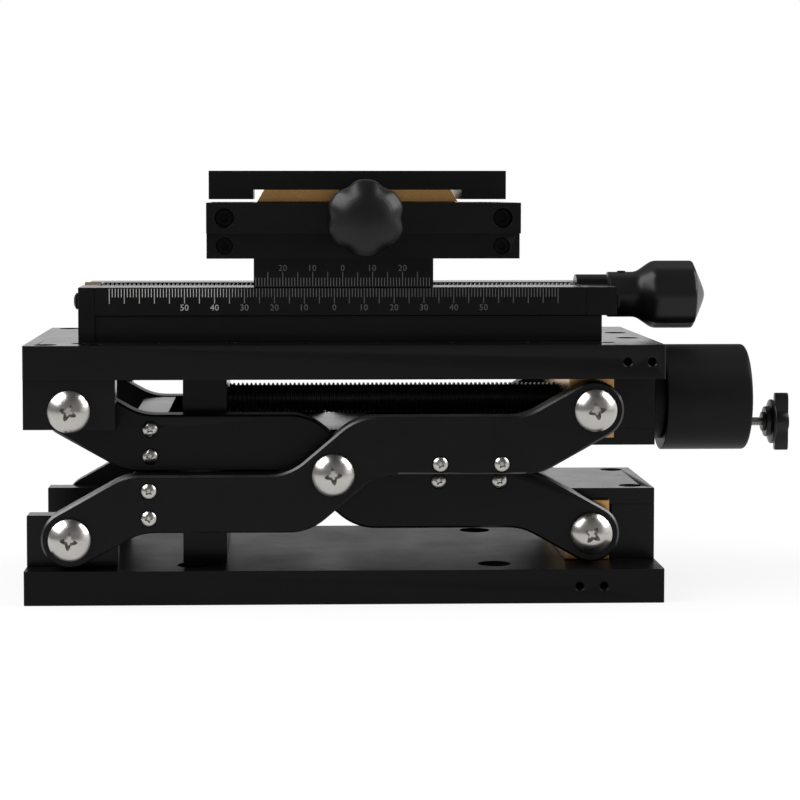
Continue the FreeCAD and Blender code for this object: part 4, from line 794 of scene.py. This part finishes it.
class STAGE_OT_lead_screws(bpy.types.Operator):
    """Build the lift screw, the X screw, the Y screw and the crank stud with their threads"""

    bl_idname = "stage.lead_screws"
    bl_label = "Lead screws"

    def execute(self, context):
        sizes = context.scene.stage_threads
        deep = sizes.depth_share
        gap = sizes.run_out

        low, high = span("lift_screw")
        axis = joint_place("lift_screw_spin")
        rows = thread_rows((low[0], span("screw_bearing_bar")[1][0] + gap,
                            span("top_guide_block")[0][0] - gap, high[0], sizes.lift_journal),
                           sizes.lift_pitch, (high[2] - low[2]) / 2, sizes.lift_pitch * deep)
        build_skin(rows, "+x", (0, axis[1], axis[2]), "lift_screw_rolled", "dark_steel",
                   "lift_drive", "black_screws", "lift_screw")

        low, high = span("x_screw")
        axis = joint_place("x_screw_spin")
        rows = thread_rows((low[0], span("x_end_left")[1][0] + gap,
                            span("x_end_right")[0][0] - gap, high[0], sizes.x_journal),
                           sizes.lift_pitch, (high[2] - low[2]) / 2, sizes.lift_pitch * deep)
        build_skin(rows, "+x", (0, axis[1], axis[2]), "x_screw_rolled", "steel", "x_drive",
                   "steel", "x_screw")

        low, high = span("y_screw")
        axis = joint_place("y_screw_spin")
        crest = (high[2] - low[2]) / 2
        rows = thread_rows((low[1], span("y_front_plate")[1][1] + gap, high[1] - gap, high[1],
                            crest), sizes.y_pitch, crest, sizes.y_pitch * deep, 28)
        build_skin(rows, "+y", (axis[0], 0, axis[2]), "y_screw_rolled", "steel", "y_drive",
                   "steel", "y_screw")

        low, high = span("crank_stud")
        centre = middle("crank_stud")
        crest = (high[2] - low[2]) / 2
        rows = thread_rows((low[0], low[0] + gap, high[0] - gap, high[0],
                            crest * sizes.stud_journal),
                           sizes.stud_pitch, crest, sizes.stud_pitch * deep, 28)
        build_skin(rows, "+x", (0, centre[1], centre[2]), "crank_stud_rolled", "steel",
                   "lift_drive", "steel", "crank_stud")
        return {"FINISHED"}


# ---------------------------------------------------------------- knobs


def rounded(points, steps=5):
    """A turned outline with rounded corners: points are (along, radius, rounding), and each
    corner is a curve that leaves one side and joins the next at the rounding's distance."""
    outline = []
    count = len(points)
    for index, (along, radius, amount) in enumerate(points):
        here = np.array([along, radius])
        if amount == 0 or index in (0, count - 1):
            outline.append(here)
            continue
        before = np.array(points[index - 1][:2]) - here
        after = np.array(points[index + 1][:2]) - here
        start = here + before * min(amount / np.hypot(*before), 0.5)
        end = here + after * min(amount / np.hypot(*after), 0.5)
        for share in np.linspace(0, 1, steps):
            outline.append((1 - share) ** 2 * start + 2 * share * (1 - share) * here
                           + share ** 2 * end)
    return np.array(outline)


def crown(depth, radius, rise, power, tip=TIP, steps=10):
    """Outline of a domed end: depth - rise * (r / radius) ** power, from the rim to the tip."""
    rims = radius + (tip - radius) * np.linspace(0, 1, steps) ** 0.9
    return [(depth - rise * (rim / radius) ** power, rim, 0) for rim in rims]


def finer(outline, step):
    """The same outline with points no further apart than step.

    A whole number of steps that rounding makes a little longer gets no further point."""
    rows = [outline[:1]]
    for before, after in zip(outline[:-1], outline[1:]):
        pieces = max(1, math.ceil(np.hypot(*(after - before)) / step - ROUNDING))
        shares = np.arange(1, pieces + 1)[:, None] / pieces
        rows.append(before + (after - before) * shares)
    return np.concatenate(rows)


def lobed_rows(outline, lobes, depth, start, full, columns, sharpness):
    """Rows of a lobed knob with a lobe straight up.

    radius = outline radius - depth * fade * scallop, where scallop is
    (0.5 - 0.5 cos(lobes * (angle - up))) ** sharpness and fade runs from 0 at start to 1 at
    full along the axis. The depth shrinks toward the axis with the fourth power of the radius."""
    angles = around(columns)
    up = math.pi / 2
    scallop = (0.5 - 0.5 * np.cos(lobes * (angles - up))) ** sharpness
    along = outline[:, 0]
    fade = np.clip((along - start) / max(full - start, 1e-9), 0, 1)
    fade = fade * fade * (3 - 2 * fade)
    largest = outline[:, 1].max()
    depths = depth * fade * np.clip(outline[:, 1] / largest, 0, 1) ** 4
    radius = outline[:, 1][:, None] - depths[:, None] * scallop[None, :]
    return skin(along, radius, angles)


class STAGE_OT_lift_knob(bpy.types.Operator):
    """Build the big turned knob of the lift screw and its hub"""

    bl_idname = "stage.lift_knob"
    bl_label = "Lift knob"

    def execute(self, context):
        sizes = context.scene.stage_knobs
        low, high = span("lift_knob")
        axis = joint_place("lift_screw_spin")
        radius = (high[2] - low[2]) / 2
        depth = high[0] - low[0]
        outline = finer(rounded([
            (0, sizes.lift_bore, 0), (0, radius, sizes.lift_back),
            (depth - sizes.lift_crown, radius, sizes.lift_round),
            (depth, sizes.lift_face, 2 * MM), (depth, TIP, 0)]), 1.2 * MM)
        build_skin(turned(outline, 96), "+x", (low[0], axis[1], axis[2]), "lift_knob_turned",
                   "turned", "lift_drive", "black_anodised", "lift_knob")

        low, high = span("lift_knob_hub")
        radius = (high[2] - low[2]) / 2
        neck = radius - sizes.hub_step
        depth = high[0] - low[0]
        neck_end = depth * 0.3
        hub_start = depth * 0.34
        outline = rounded([
            (0, sizes.lift_bore, 0), (0, neck, 0.3 * MM), (neck_end, neck, 0),
            (hub_start, radius, 0.3 * MM), (depth, radius, 0.4 * MM),
            (depth, sizes.lift_bore, 0)])
        build_skin(turned(outline, 96), "+x", (low[0], axis[1], axis[2]), "lift_knob_hub_turned",
                   "turned", "lift_drive", "black_anodised", "lift_knob_hub")
        return {"FINISHED"}


class STAGE_OT_x_knob(bpy.types.Operator):
    """Build the fluted knob of the X screw and its set screw"""

    bl_idname = "stage.x_knob"
    bl_label = "X knob"

    def execute(self, context):
        sizes = context.scene.stage_knobs
        low, high = span("x_knob")
        axis = joint_place("x_screw_spin")
        radius = (high[2] - low[2]) / 2
        depth = high[0] - low[0]
        outline = finer(rounded([
            (0, sizes.knob_bore, 0), (0, sizes.x_neck, 0.5 * MM),
            (sizes.x_neck_end, sizes.x_neck, sizes.x_round),
            (sizes.x_grip_start, radius, sizes.x_round),
            (depth - sizes.x_crown, radius, 0.8 * MM),
            (depth - 0.5 * MM, sizes.x_tip, sizes.x_round), (depth, 0.4 * MM, 0)]), 0.7 * MM)
        rows = lobed_rows(outline, sizes.x_flutes, sizes.x_flute, sizes.x_neck_end - 0.4 * MM,
                          sizes.x_grip_start + 1.2 * MM, 128, 1.3)
        build_skin(rows, "+x", (low[0], axis[1], axis[2]), "x_knob_fluted", "plastic", "x_drive",
                   "black_plastic", "x_knob")
        self.set_screw(context.scene.stage_screws)
        return {"FINISHED"}

    def set_screw(self, sizes):
        """A headless screw on Z with a hexagon socket: round rows, then the socket's."""
        low, high = span("x_set_screw")
        centre = middle("x_set_screw")
        columns = 36
        angles = around(columns)
        tall = high[2] - low[2]
        rounds = [(0, 1.1 * MM), (0.4 * MM, sizes.set_radius),
                  (tall - 0.25 * MM, sizes.set_radius), (tall, sizes.set_radius - 0.25 * MM)]
        socket = hex_outline(angles, sizes.set_hex)
        floor = tall - sizes.set_recess
        along = np.array([row[0] for row in rounds] + [tall, floor, floor - 0.2 * MM])
        radius = np.stack([np.full(columns, row[1]) for row in rounds]
                          + [socket, socket, socket * 0.3])
        build_skin(skin(along, radius, angles), "+z", (centre[0], centre[1], low[2]),
                   "x_set_screw_socket", "oxide", "x_drive", "black_screws", "x_set_screw")


class STAGE_OT_y_knob(bpy.types.Operator):
    """Build the lobed knob of the Y screw"""

    bl_idname = "stage.y_knob"
    bl_label = "Y knob"

    def execute(self, context):
        sizes = context.scene.stage_knobs
        low, high = span("y_knob")
        axis = joint_place("y_screw_spin")
        depth = high[1] - low[1]
        radius = (high[2] - low[2]) / 2
        rim = depth - sizes.y_crown
        outline = finer(rounded([
            (0, sizes.knob_bore, 0), (0, sizes.y_neck, 0.4 * MM),
            (sizes.y_neck_end, sizes.y_neck, 0.8 * MM), (sizes.y_neck_end, radius, 1.2 * MM),
            (rim - 1.1 * MM, radius, 0), (rim - 0.6 * MM, radius - 0.1 * MM, 0),
            *crown(depth, radius - 0.4 * MM, sizes.y_crown, 2.6)]), 0.7 * MM)
        rows = lobed_rows(outline, sizes.y_lobes, sizes.y_flute, sizes.y_neck_end - 0.1 * MM,
                          sizes.y_neck_end, 144, 2.0)
        build_skin(rows, "-y", (axis[0], high[1], axis[2]), "y_knob_lobed", "plastic", "y_drive",
                   "black_plastic", "y_knob")
        return {"FINISHED"}


def bar_outline(angles, reach, width, boss):
    """A round-ended bar with a boss in polar form: the softened greater of the boss's radius
    and a softened box, reach / cos and half the width / sin."""
    cos = np.abs(np.cos(angles))
    sin = np.abs(np.sin(angles))
    bar = ((cos / reach) ** 6 + (sin / (width / 2)) ** 6) ** (-1 / 6)
    return (bar ** 12 + (boss / 2) ** 12) ** (1 / 12)


class STAGE_OT_crank_grip(bpy.types.Operator):
    """Build the cross-bar grip on the lift knob's stud"""

    bl_idname = "stage.crank_grip"
    bl_label = "Crank grip"

    def execute(self, context):
        sizes = context.scene.stage_knobs
        low, high = span("crank_grip")
        centre = joint_place("crank_spin")
        place = (low[0], centre[1], centre[2])
        thick = sizes.crank_thick
        base = high[0] - low[0] - thick
        outline = rounded([
            (0, sizes.crank_bore, 0), (0, sizes.crank_collar, 0.2 * MM),
            (sizes.crank_collar_end, sizes.crank_collar, 0),
            (sizes.crank_collar_end, sizes.crank_hub, 0.2 * MM),
            (sizes.crank_hub_end, sizes.crank_hub_wide, 0.4 * MM),
            (sizes.crank_flare_start, sizes.crank_flare, 0.3 * MM),
            (sizes.crank_flare_end, sizes.crank_flare, 0.3 * MM),
            (sizes.crank_flare_end, sizes.crank_neck, 0),
            (base + 0.1 * MM, sizes.crank_neck, 0)])
        made = Mesh()
        made.add_closed(turned(outline, 72), "+x", place)

        angles = around(180)
        shape = bar_outline(angles - math.pi / 2, (high[2] - low[2]) / 2, sizes.crank_bar,
                            sizes.crank_boss)
        edge = sizes.crank_edge
        steps = [(0, 0.4, 0), (0, 1, edge), (edge * 0.3, 1, edge * 0.3), (edge, 1, 0),
                 (thick - edge, 1, 0), (thick - edge * 0.3, 1, edge * 0.3), (thick, 1, edge),
                 (thick, 0.4, 0)]
        along = np.array([base + step[0] for step in steps])
        radius = np.stack([shape * step[1] - step[2] for step in steps])
        made.add_closed(skin(along, radius, angles), "+x", place)
        made.build("crank_grip_moulded", "plastic", "crank", "black_plastic", "crank_grip")
        return {"FINISHED"}


# ---------------------------------------------------------------- rules


def marks(made, places, near, far, face, sizes):
    """Upright marks as thin blocks: corner = place +- width / 2, between near and far in Z,
    from just under the face to proud of it in Y."""
    corners = np.array([(x, y, z) for x in (-0.5, 0.5) for y in (0, 1) for z in (0, 1)], float)
    spots = np.asarray(places)
    ends = np.stack([np.broadcast_to(near, spots.shape), np.broadcast_to(far, spots.shape)], -1)
    low = ends.min(1)[:, None]
    high = ends.max(1)[:, None]
    x = spots[:, None] + corners[None, :, 0] * sizes.mark_width
    y = face + sizes.sunk - corners[None, :, 1] * (sizes.proud + sizes.sunk) + 0 * x
    z = low * (1 - corners[None, :, 2]) + high * corners[None, :, 2]
    block = [(0, 1, 3, 2), (4, 6, 7, 5), (0, 4, 5, 1), (2, 3, 7, 6), (0, 2, 6, 4), (1, 5, 7, 3)]
    faces = [tuple(8 * i + corner for corner in side) for i in range(len(spots)) for side in block]
    made.add(np.stack([x, y, z], -1), [side[::-1] for side in faces])


def figures(made, text, x, z, face, sizes):
    """A number as a thin solid that faces the front, middled on x and z."""
    letters = bpy.data.curves.new("figures", "FONT")
    letters.body = text
    letters.size = sizes.figure_size
    letters.align_x = "CENTER"
    letters.align_y = "CENTER"
    letters.extrude = 0.01 * MM
    letters.resolution_u = 3
    letters.space_character = 1.05
    holder = bpy.data.objects.new("figures", letters)
    flat = bpy.data.meshes.new_from_object(holder)
    places = np.empty(len(flat.vertices) * 3)
    flat.vertices.foreach_get("co", places)
    places = places.reshape(-1, 3)
    middle_x = (places[:, 0].min() + places[:, 0].max()) / 2
    middle_y = (places[:, 1].min() + places[:, 1].max()) / 2
    depth = np.where(places[:, 2] > 0, face - sizes.proud, face + sizes.sunk)
    upright = np.stack([places[:, 0] - middle_x + x, depth, places[:, 1] - middle_y + z], -1)
    made.add(upright, [tuple(side.vertices) for side in flat.polygons])
    bpy.data.objects.remove(holder)
    bpy.data.curves.remove(letters)
    bpy.data.meshes.remove(flat)


class STAGE_OT_rules(bpy.types.Operator):
    """Build the white-filled marks and figures of the two millimetre rules"""

    bl_idname = "stage.rules"
    bl_label = "Rules"

    def execute(self, context):
        sizes = context.scene.stage_rules
        low, high = span("x_rail_front")
        top = high[2] - sizes.inset
        steps = np.arange(-75, 76)
        lengths = np.where(steps % 5 == 0, sizes.long_mark, sizes.short_mark)
        made = Mesh()
        marks(made, steps * MM - sizes.zero_x, top, top - lengths, low[1], sizes)
        for number in range(-50, 51, 10):
            figures(made, str(abs(number)), number * MM - sizes.zero_x,
                    top - sizes.long_mark - sizes.rail_drop, low[1], sizes)
        made.build("rail_rule_marks", "fill", "top", "black_anodised")

        face = span("x_carriage")[0][1]
        foot = high[2] + sizes.inset
        steps = np.arange(-29, 30)
        lengths = np.where(steps % 5 == 0, sizes.long_mark - sizes.carriage_less,
                           sizes.short_mark)
        made = Mesh()
        marks(made, steps * MM - sizes.carriage_zero, foot, foot + lengths, face, sizes)
        for number in range(-20, 21, 10):
            figures(made, str(abs(number)), number * MM - sizes.carriage_zero,
                    foot + sizes.long_mark + sizes.carriage_rise, face, sizes)
        made.build("carriage_rule_marks", "fill", "carriage", "black_anodised")
        return {"FINISHED"}


# ---------------------------------------------------------------- carried-over nodes

BODIES = {node: body for body, nodes in frame["record"]["behaviour"]["bodies"].items()
          for node in nodes}
SLOTS = {row["node"]: row["material_slot"] for row in frame["record"]["subparts"]}
SOFTENED = [
    "base_plate", "base_pivot_blocks", "base_cross_bar", "base_guide_block", "base_guide_cap",
    "outer_spreader_bar", "outer_spreader_plate", "inner_spreader_bar", "inner_spreader_plate",
    "centre_block", "top_plate", "top_pivot_blocks", "screw_bearing_bar", "top_guide_block",
    "top_guide_cap", "x_floor", "x_rail_front", "x_rail_rear", "x_end_left", "x_end_right",
    "x_carriage", "y_adapter", "y_body", "y_front_plate", "table", "lower_slider",
    "upper_slider", "table_dovetail",
]
FINISH_BY_SLOT = {
    "black_anodised": "plate",
    "nickel_screws": "nickel",
    "black_screws": "oxide",
    "steel": "steel",
    "brass": "brass",
    "black_plastic": "plastic",
}


def finish_for(node):
    """Name of the finish that a node takes."""
    if node == "base_plate":
        return "base"
    return "arm" if "_arm_" in node else FINISH_BY_SLOT[SLOTS[node]]


ARMS = ["%s_arm_%s" % (pair, side) for pair in ("outer", "inner") for side in ("front", "rear")]


def merged_copy(node, name):
    """A new piece from a node's mesh, with the triangles of each flat merged into one face."""
    data = frame["nodes"][node].data.copy()
    data.name = name
    mesh = bmesh.new()
    mesh.from_mesh(data)
    bmesh.ops.remove_doubles(mesh, verts=mesh.verts, dist=1e-6)
    bmesh.ops.dissolve_limit(mesh, angle_limit=math.radians(0.5), verts=mesh.verts,
                             edges=mesh.edges)
    mesh.to_mesh(data)
    mesh.free()
    shade(data)
    return placed(name, data)


class STAGE_OT_arms(bpy.types.Operator):
    """Build the four arms with their chamfers marked for the finish"""

    bl_idname = "stage.arms"
    bl_label = "Arms"

    def execute(self, context):
        for node in ARMS:
            piece = merged_copy(node, node + "_marked")
            normals = np.empty(len(piece.data.polygons) * 3, np.float32)
            piece.data.polygons.foreach_get("normal", normals)
            lean = np.abs(normals[1::3])
            chamfer = piece.data.attributes.new("chamfer", "FLOAT", "FACE")
            chamfer.data.foreach_set("value", ((lean > 0.5) & (lean < 0.9)).astype(np.float32))
            dress(piece, "arm", BODIES[node], SLOTS[node], node)
        return {"FINISHED"}


class STAGE_OT_softened_blocks(bpy.types.Operator):
    """Build the plates, blocks and bars with their sharp edges broken"""

    bl_idname = "stage.softened_blocks"
    bl_label = "Softened blocks"

    def execute(self, context):
        for node in SOFTENED:
            piece = merged_copy(node, node + "_softened")
            bevel = piece.modifiers.new("broken edges", "BEVEL")
            bevel.width = context.scene.stage_blocks.broken_edge
            bevel.segments = 2
            bevel.limit_method = "ANGLE"
            bevel.angle_limit = math.radians(40)
            bevel.harden_normals = True
            dress(piece, finish_for(node), BODIES[node], SLOTS[node], node)
        return {"FINISHED"}


class STAGE_OT_node_finishes(bpy.types.Operator):
    """Give every carried-over node its finish"""

    bl_idname = "stage.node_finishes"
    bl_label = "Node finishes"

    def execute(self, context):
        for node, thing in frame["nodes"].items():
            material = finish_of(finish_for(node))
            if not thing.material_slots:
                raise RuntimeError(node + " has no material slot")
            for place in thing.material_slots:
                place.material = material
        return {"FINISHED"}


# ---------------------------------------------------------------- floor, lamps and camera


# each lamp's name, power setting, place, width and height; places and sizes are in metres
LAMPS = (
    ("left_box", "left_power", (-0.85, -0.22, 0.95), 1.05, 0.9),
    ("right_box", "right_power", (0.88, -0.12, 0.72), 0.5, 0.8),
    ("top_box", "top_power", (0.0, 0.45, 1.0), 1.0, 0.6),
)
LAMP_TARGET = (0.02, 0, 0.07)
CAMERA_PLACE = (-0.02268, -0.78775, 0.13512)
CAMERA_TARGET = (-0.00047, -0.05, 0.09852)
CAMERA_LENS = 102.21  # millimetres, for a sensor 36 wide
CAMERA_SHIFT = (0.07, -0.12)


def aim(thing, place, target):
    """Stand a lamp or camera at a place and point it at a target."""
    thing.location = place
    thing.rotation_mode = "QUATERNION"
    thing.rotation_quaternion = (Vector(target) - Vector(place)).to_track_quat("-Z", "Y")


def soft_box(name, place, target, width, height, power):
    """A rectangular lamp."""
    lamp = bpy.data.lights.new(name, "AREA")
    lamp.shape = "RECTANGLE"
    lamp.size = width
    lamp.size_y = height
    lamp.energy = power
    aim(placed(name, lamp), place, target)


class STAGE_OT_backdrop(bpy.types.Operator):
    """Set up the floor, the lamps, the world and the camera"""

    bl_idname = "stage.backdrop"
    bl_label = "Backdrop"

    def execute(self, context):
        scene = context.scene
        light = scene.stage_light
        self.make_floor(scene.stage_colours, light)
        self.make_world(scene, light)
        for name, power, place, width, height in LAMPS:
            soft_box(name, place, LAMP_TARGET, width, height, getattr(light, power))

        camera = bpy.data.cameras.new("camera")
        camera.sensor_width = 36
        camera.lens = CAMERA_LENS
        camera.shift_x, camera.shift_y = CAMERA_SHIFT
        camera.clip_start = 0.01
        camera.clip_end = 100
        scene.camera = placed("camera", camera)
        aim(scene.camera, CAMERA_PLACE, CAMERA_TARGET)
        scene.view_settings.view_transform = "Standard"
        return {"FINISHED"}

    def make_floor(self, colours, light):
        """A wide pale sheet: four corners and one face, lying on Z = 0.

        It is white where it is seen and where it is mirrored from behind. The mirrored floor is
        light grey near the part and darker further in front. The rest is matt, for the shadow."""
        half = 6.0
        data = bpy.data.meshes.new("floor")
        data.from_pydata([(-half, -half, 0), (half, -half, 0), (half, half, 0), (-half, half, 0)],
                         [], [(0, 1, 2, 3)])
        floor = placed("floor", data)
        material = bpy.data.materials.new("floor")
        net = blank_network(material)
        matt = net.node("ShaderNodeBsdfDiffuse", {}, {"Color": (*colours.floor, 1)})
        spot = net.node("ShaderNodeTexCoord", output="Object")
        behind = net.ramp(net.part(spot, "Y"), -0.2, 0.5)
        away = net.node("ShaderNodeVectorMath", {"operation": "LENGTH"}, {0: spot}, output="Value")
        front = light.near + net.ramp(away, 0.85, 1.25) * (light.front - light.near)
        strength = net.ray("Camera") + net.ray("Glossy") * (front + behind * (1 - front))
        glow = net.node("ShaderNodeEmission", {}, {"Strength": strength})
        bright = 0.8 + net.ramp(away, 0.12, 0.6) * 0.2
        seen = (net.ray("Camera") + net.ray("Glossy")) * bright
        mix = net.node("ShaderNodeMixShader", {}, {0: seen, 1: matt, 2: glow})
        net.node("ShaderNodeOutputMaterial", {}, {"Surface": mix})
        data.materials.append(material)

    def make_world(self, scene, light):
        """White where it is seen. Mirrored, it is white low behind the part, bright at its right,
        dark in front and darker overhead. For matt surfaces it is an even soft light."""
        world = bpy.data.worlds.new("studio")
        net = blank_network(world)
        way = net.node("ShaderNodeTexCoord", output="Generated")
        low = 1 - net.ramp(net.part(way, "Z"), 0.12, 0.3)
        behind = net.ramp(net.part(way, "Y"), 0.35, 0.92) * low
        beside = net.ramp(net.part(way, "X"), 0.7, 0.97)
        overhead = net.ramp(net.part(way, "Z"), 0.4, 0.95)
        mirrored = (net.ray("Glossy") + net.ray("Transmission")) * (
            light.front * (1 - overhead * 0.7) + behind * (1 - light.front) + beside * light.right)
        strength = net.ray("Camera") + mirrored + net.ray("Diffuse") * light.room
        sky = net.node("ShaderNodeBackground", {}, {"Color": (1, 1, 1, 1), "Strength": strength})
        net.node("ShaderNodeOutputWorld", {}, {"Surface": sky})
        scene.world = world


# ---------------------------------------------------------------- sidebar and registration

OPERATORS = (
    STAGE_OT_node_finishes,
    STAGE_OT_softened_blocks,
    STAGE_OT_arms,
    STAGE_OT_pivot_screws,
    STAGE_OT_arm_screws,
    STAGE_OT_lead_screws,
    STAGE_OT_lift_knob,
    STAGE_OT_x_knob,
    STAGE_OT_y_knob,
    STAGE_OT_crank_grip,
    STAGE_OT_rules,
    STAGE_OT_backdrop,
)


class STAGE_PT_sidebar(bpy.types.Panel):
    """Sizes, colours and the steps that build the stage"""

    bl_idname = "STAGE_PT_sidebar"
    bl_label = "Three-axis stage"
    bl_space_type = "VIEW_3D"
    bl_region_type = "UI"
    bl_category = "Stage"

    def draw(self, context):
        for group in GROUPS:
            box = self.layout.box()
            values = getattr(context.scene, group)
            for name in values.bl_rna.properties.keys():
                if name not in ("rna_type", "name"):
                    box.prop(values, name)
        for operator in OPERATORS:
            self.layout.operator(operator.bl_idname)


CLASSES = (*GROUPS.values(), *OPERATORS, STAGE_PT_sidebar)


def register():
    """Register the classes and hang the settings on the scene."""
    for item in CLASSES:
        bpy.utils.register_class(item)
    for name, group in GROUPS.items():
        setattr(bpy.types.Scene, name, PointerProperty(type=group))


def unregister():
    """Undo register."""
    for name in GROUPS:
        delattr(bpy.types.Scene, name)
    for item in reversed(CLASSES):
        bpy.utils.unregister_class(item)


def main():
    """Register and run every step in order."""
    register()
    for operator in OPERATORS:
        name = operator.bl_idname.split(".")[1]
        getattr(bpy.ops.stage, name)()


if __name__ == "__main__":
    main()
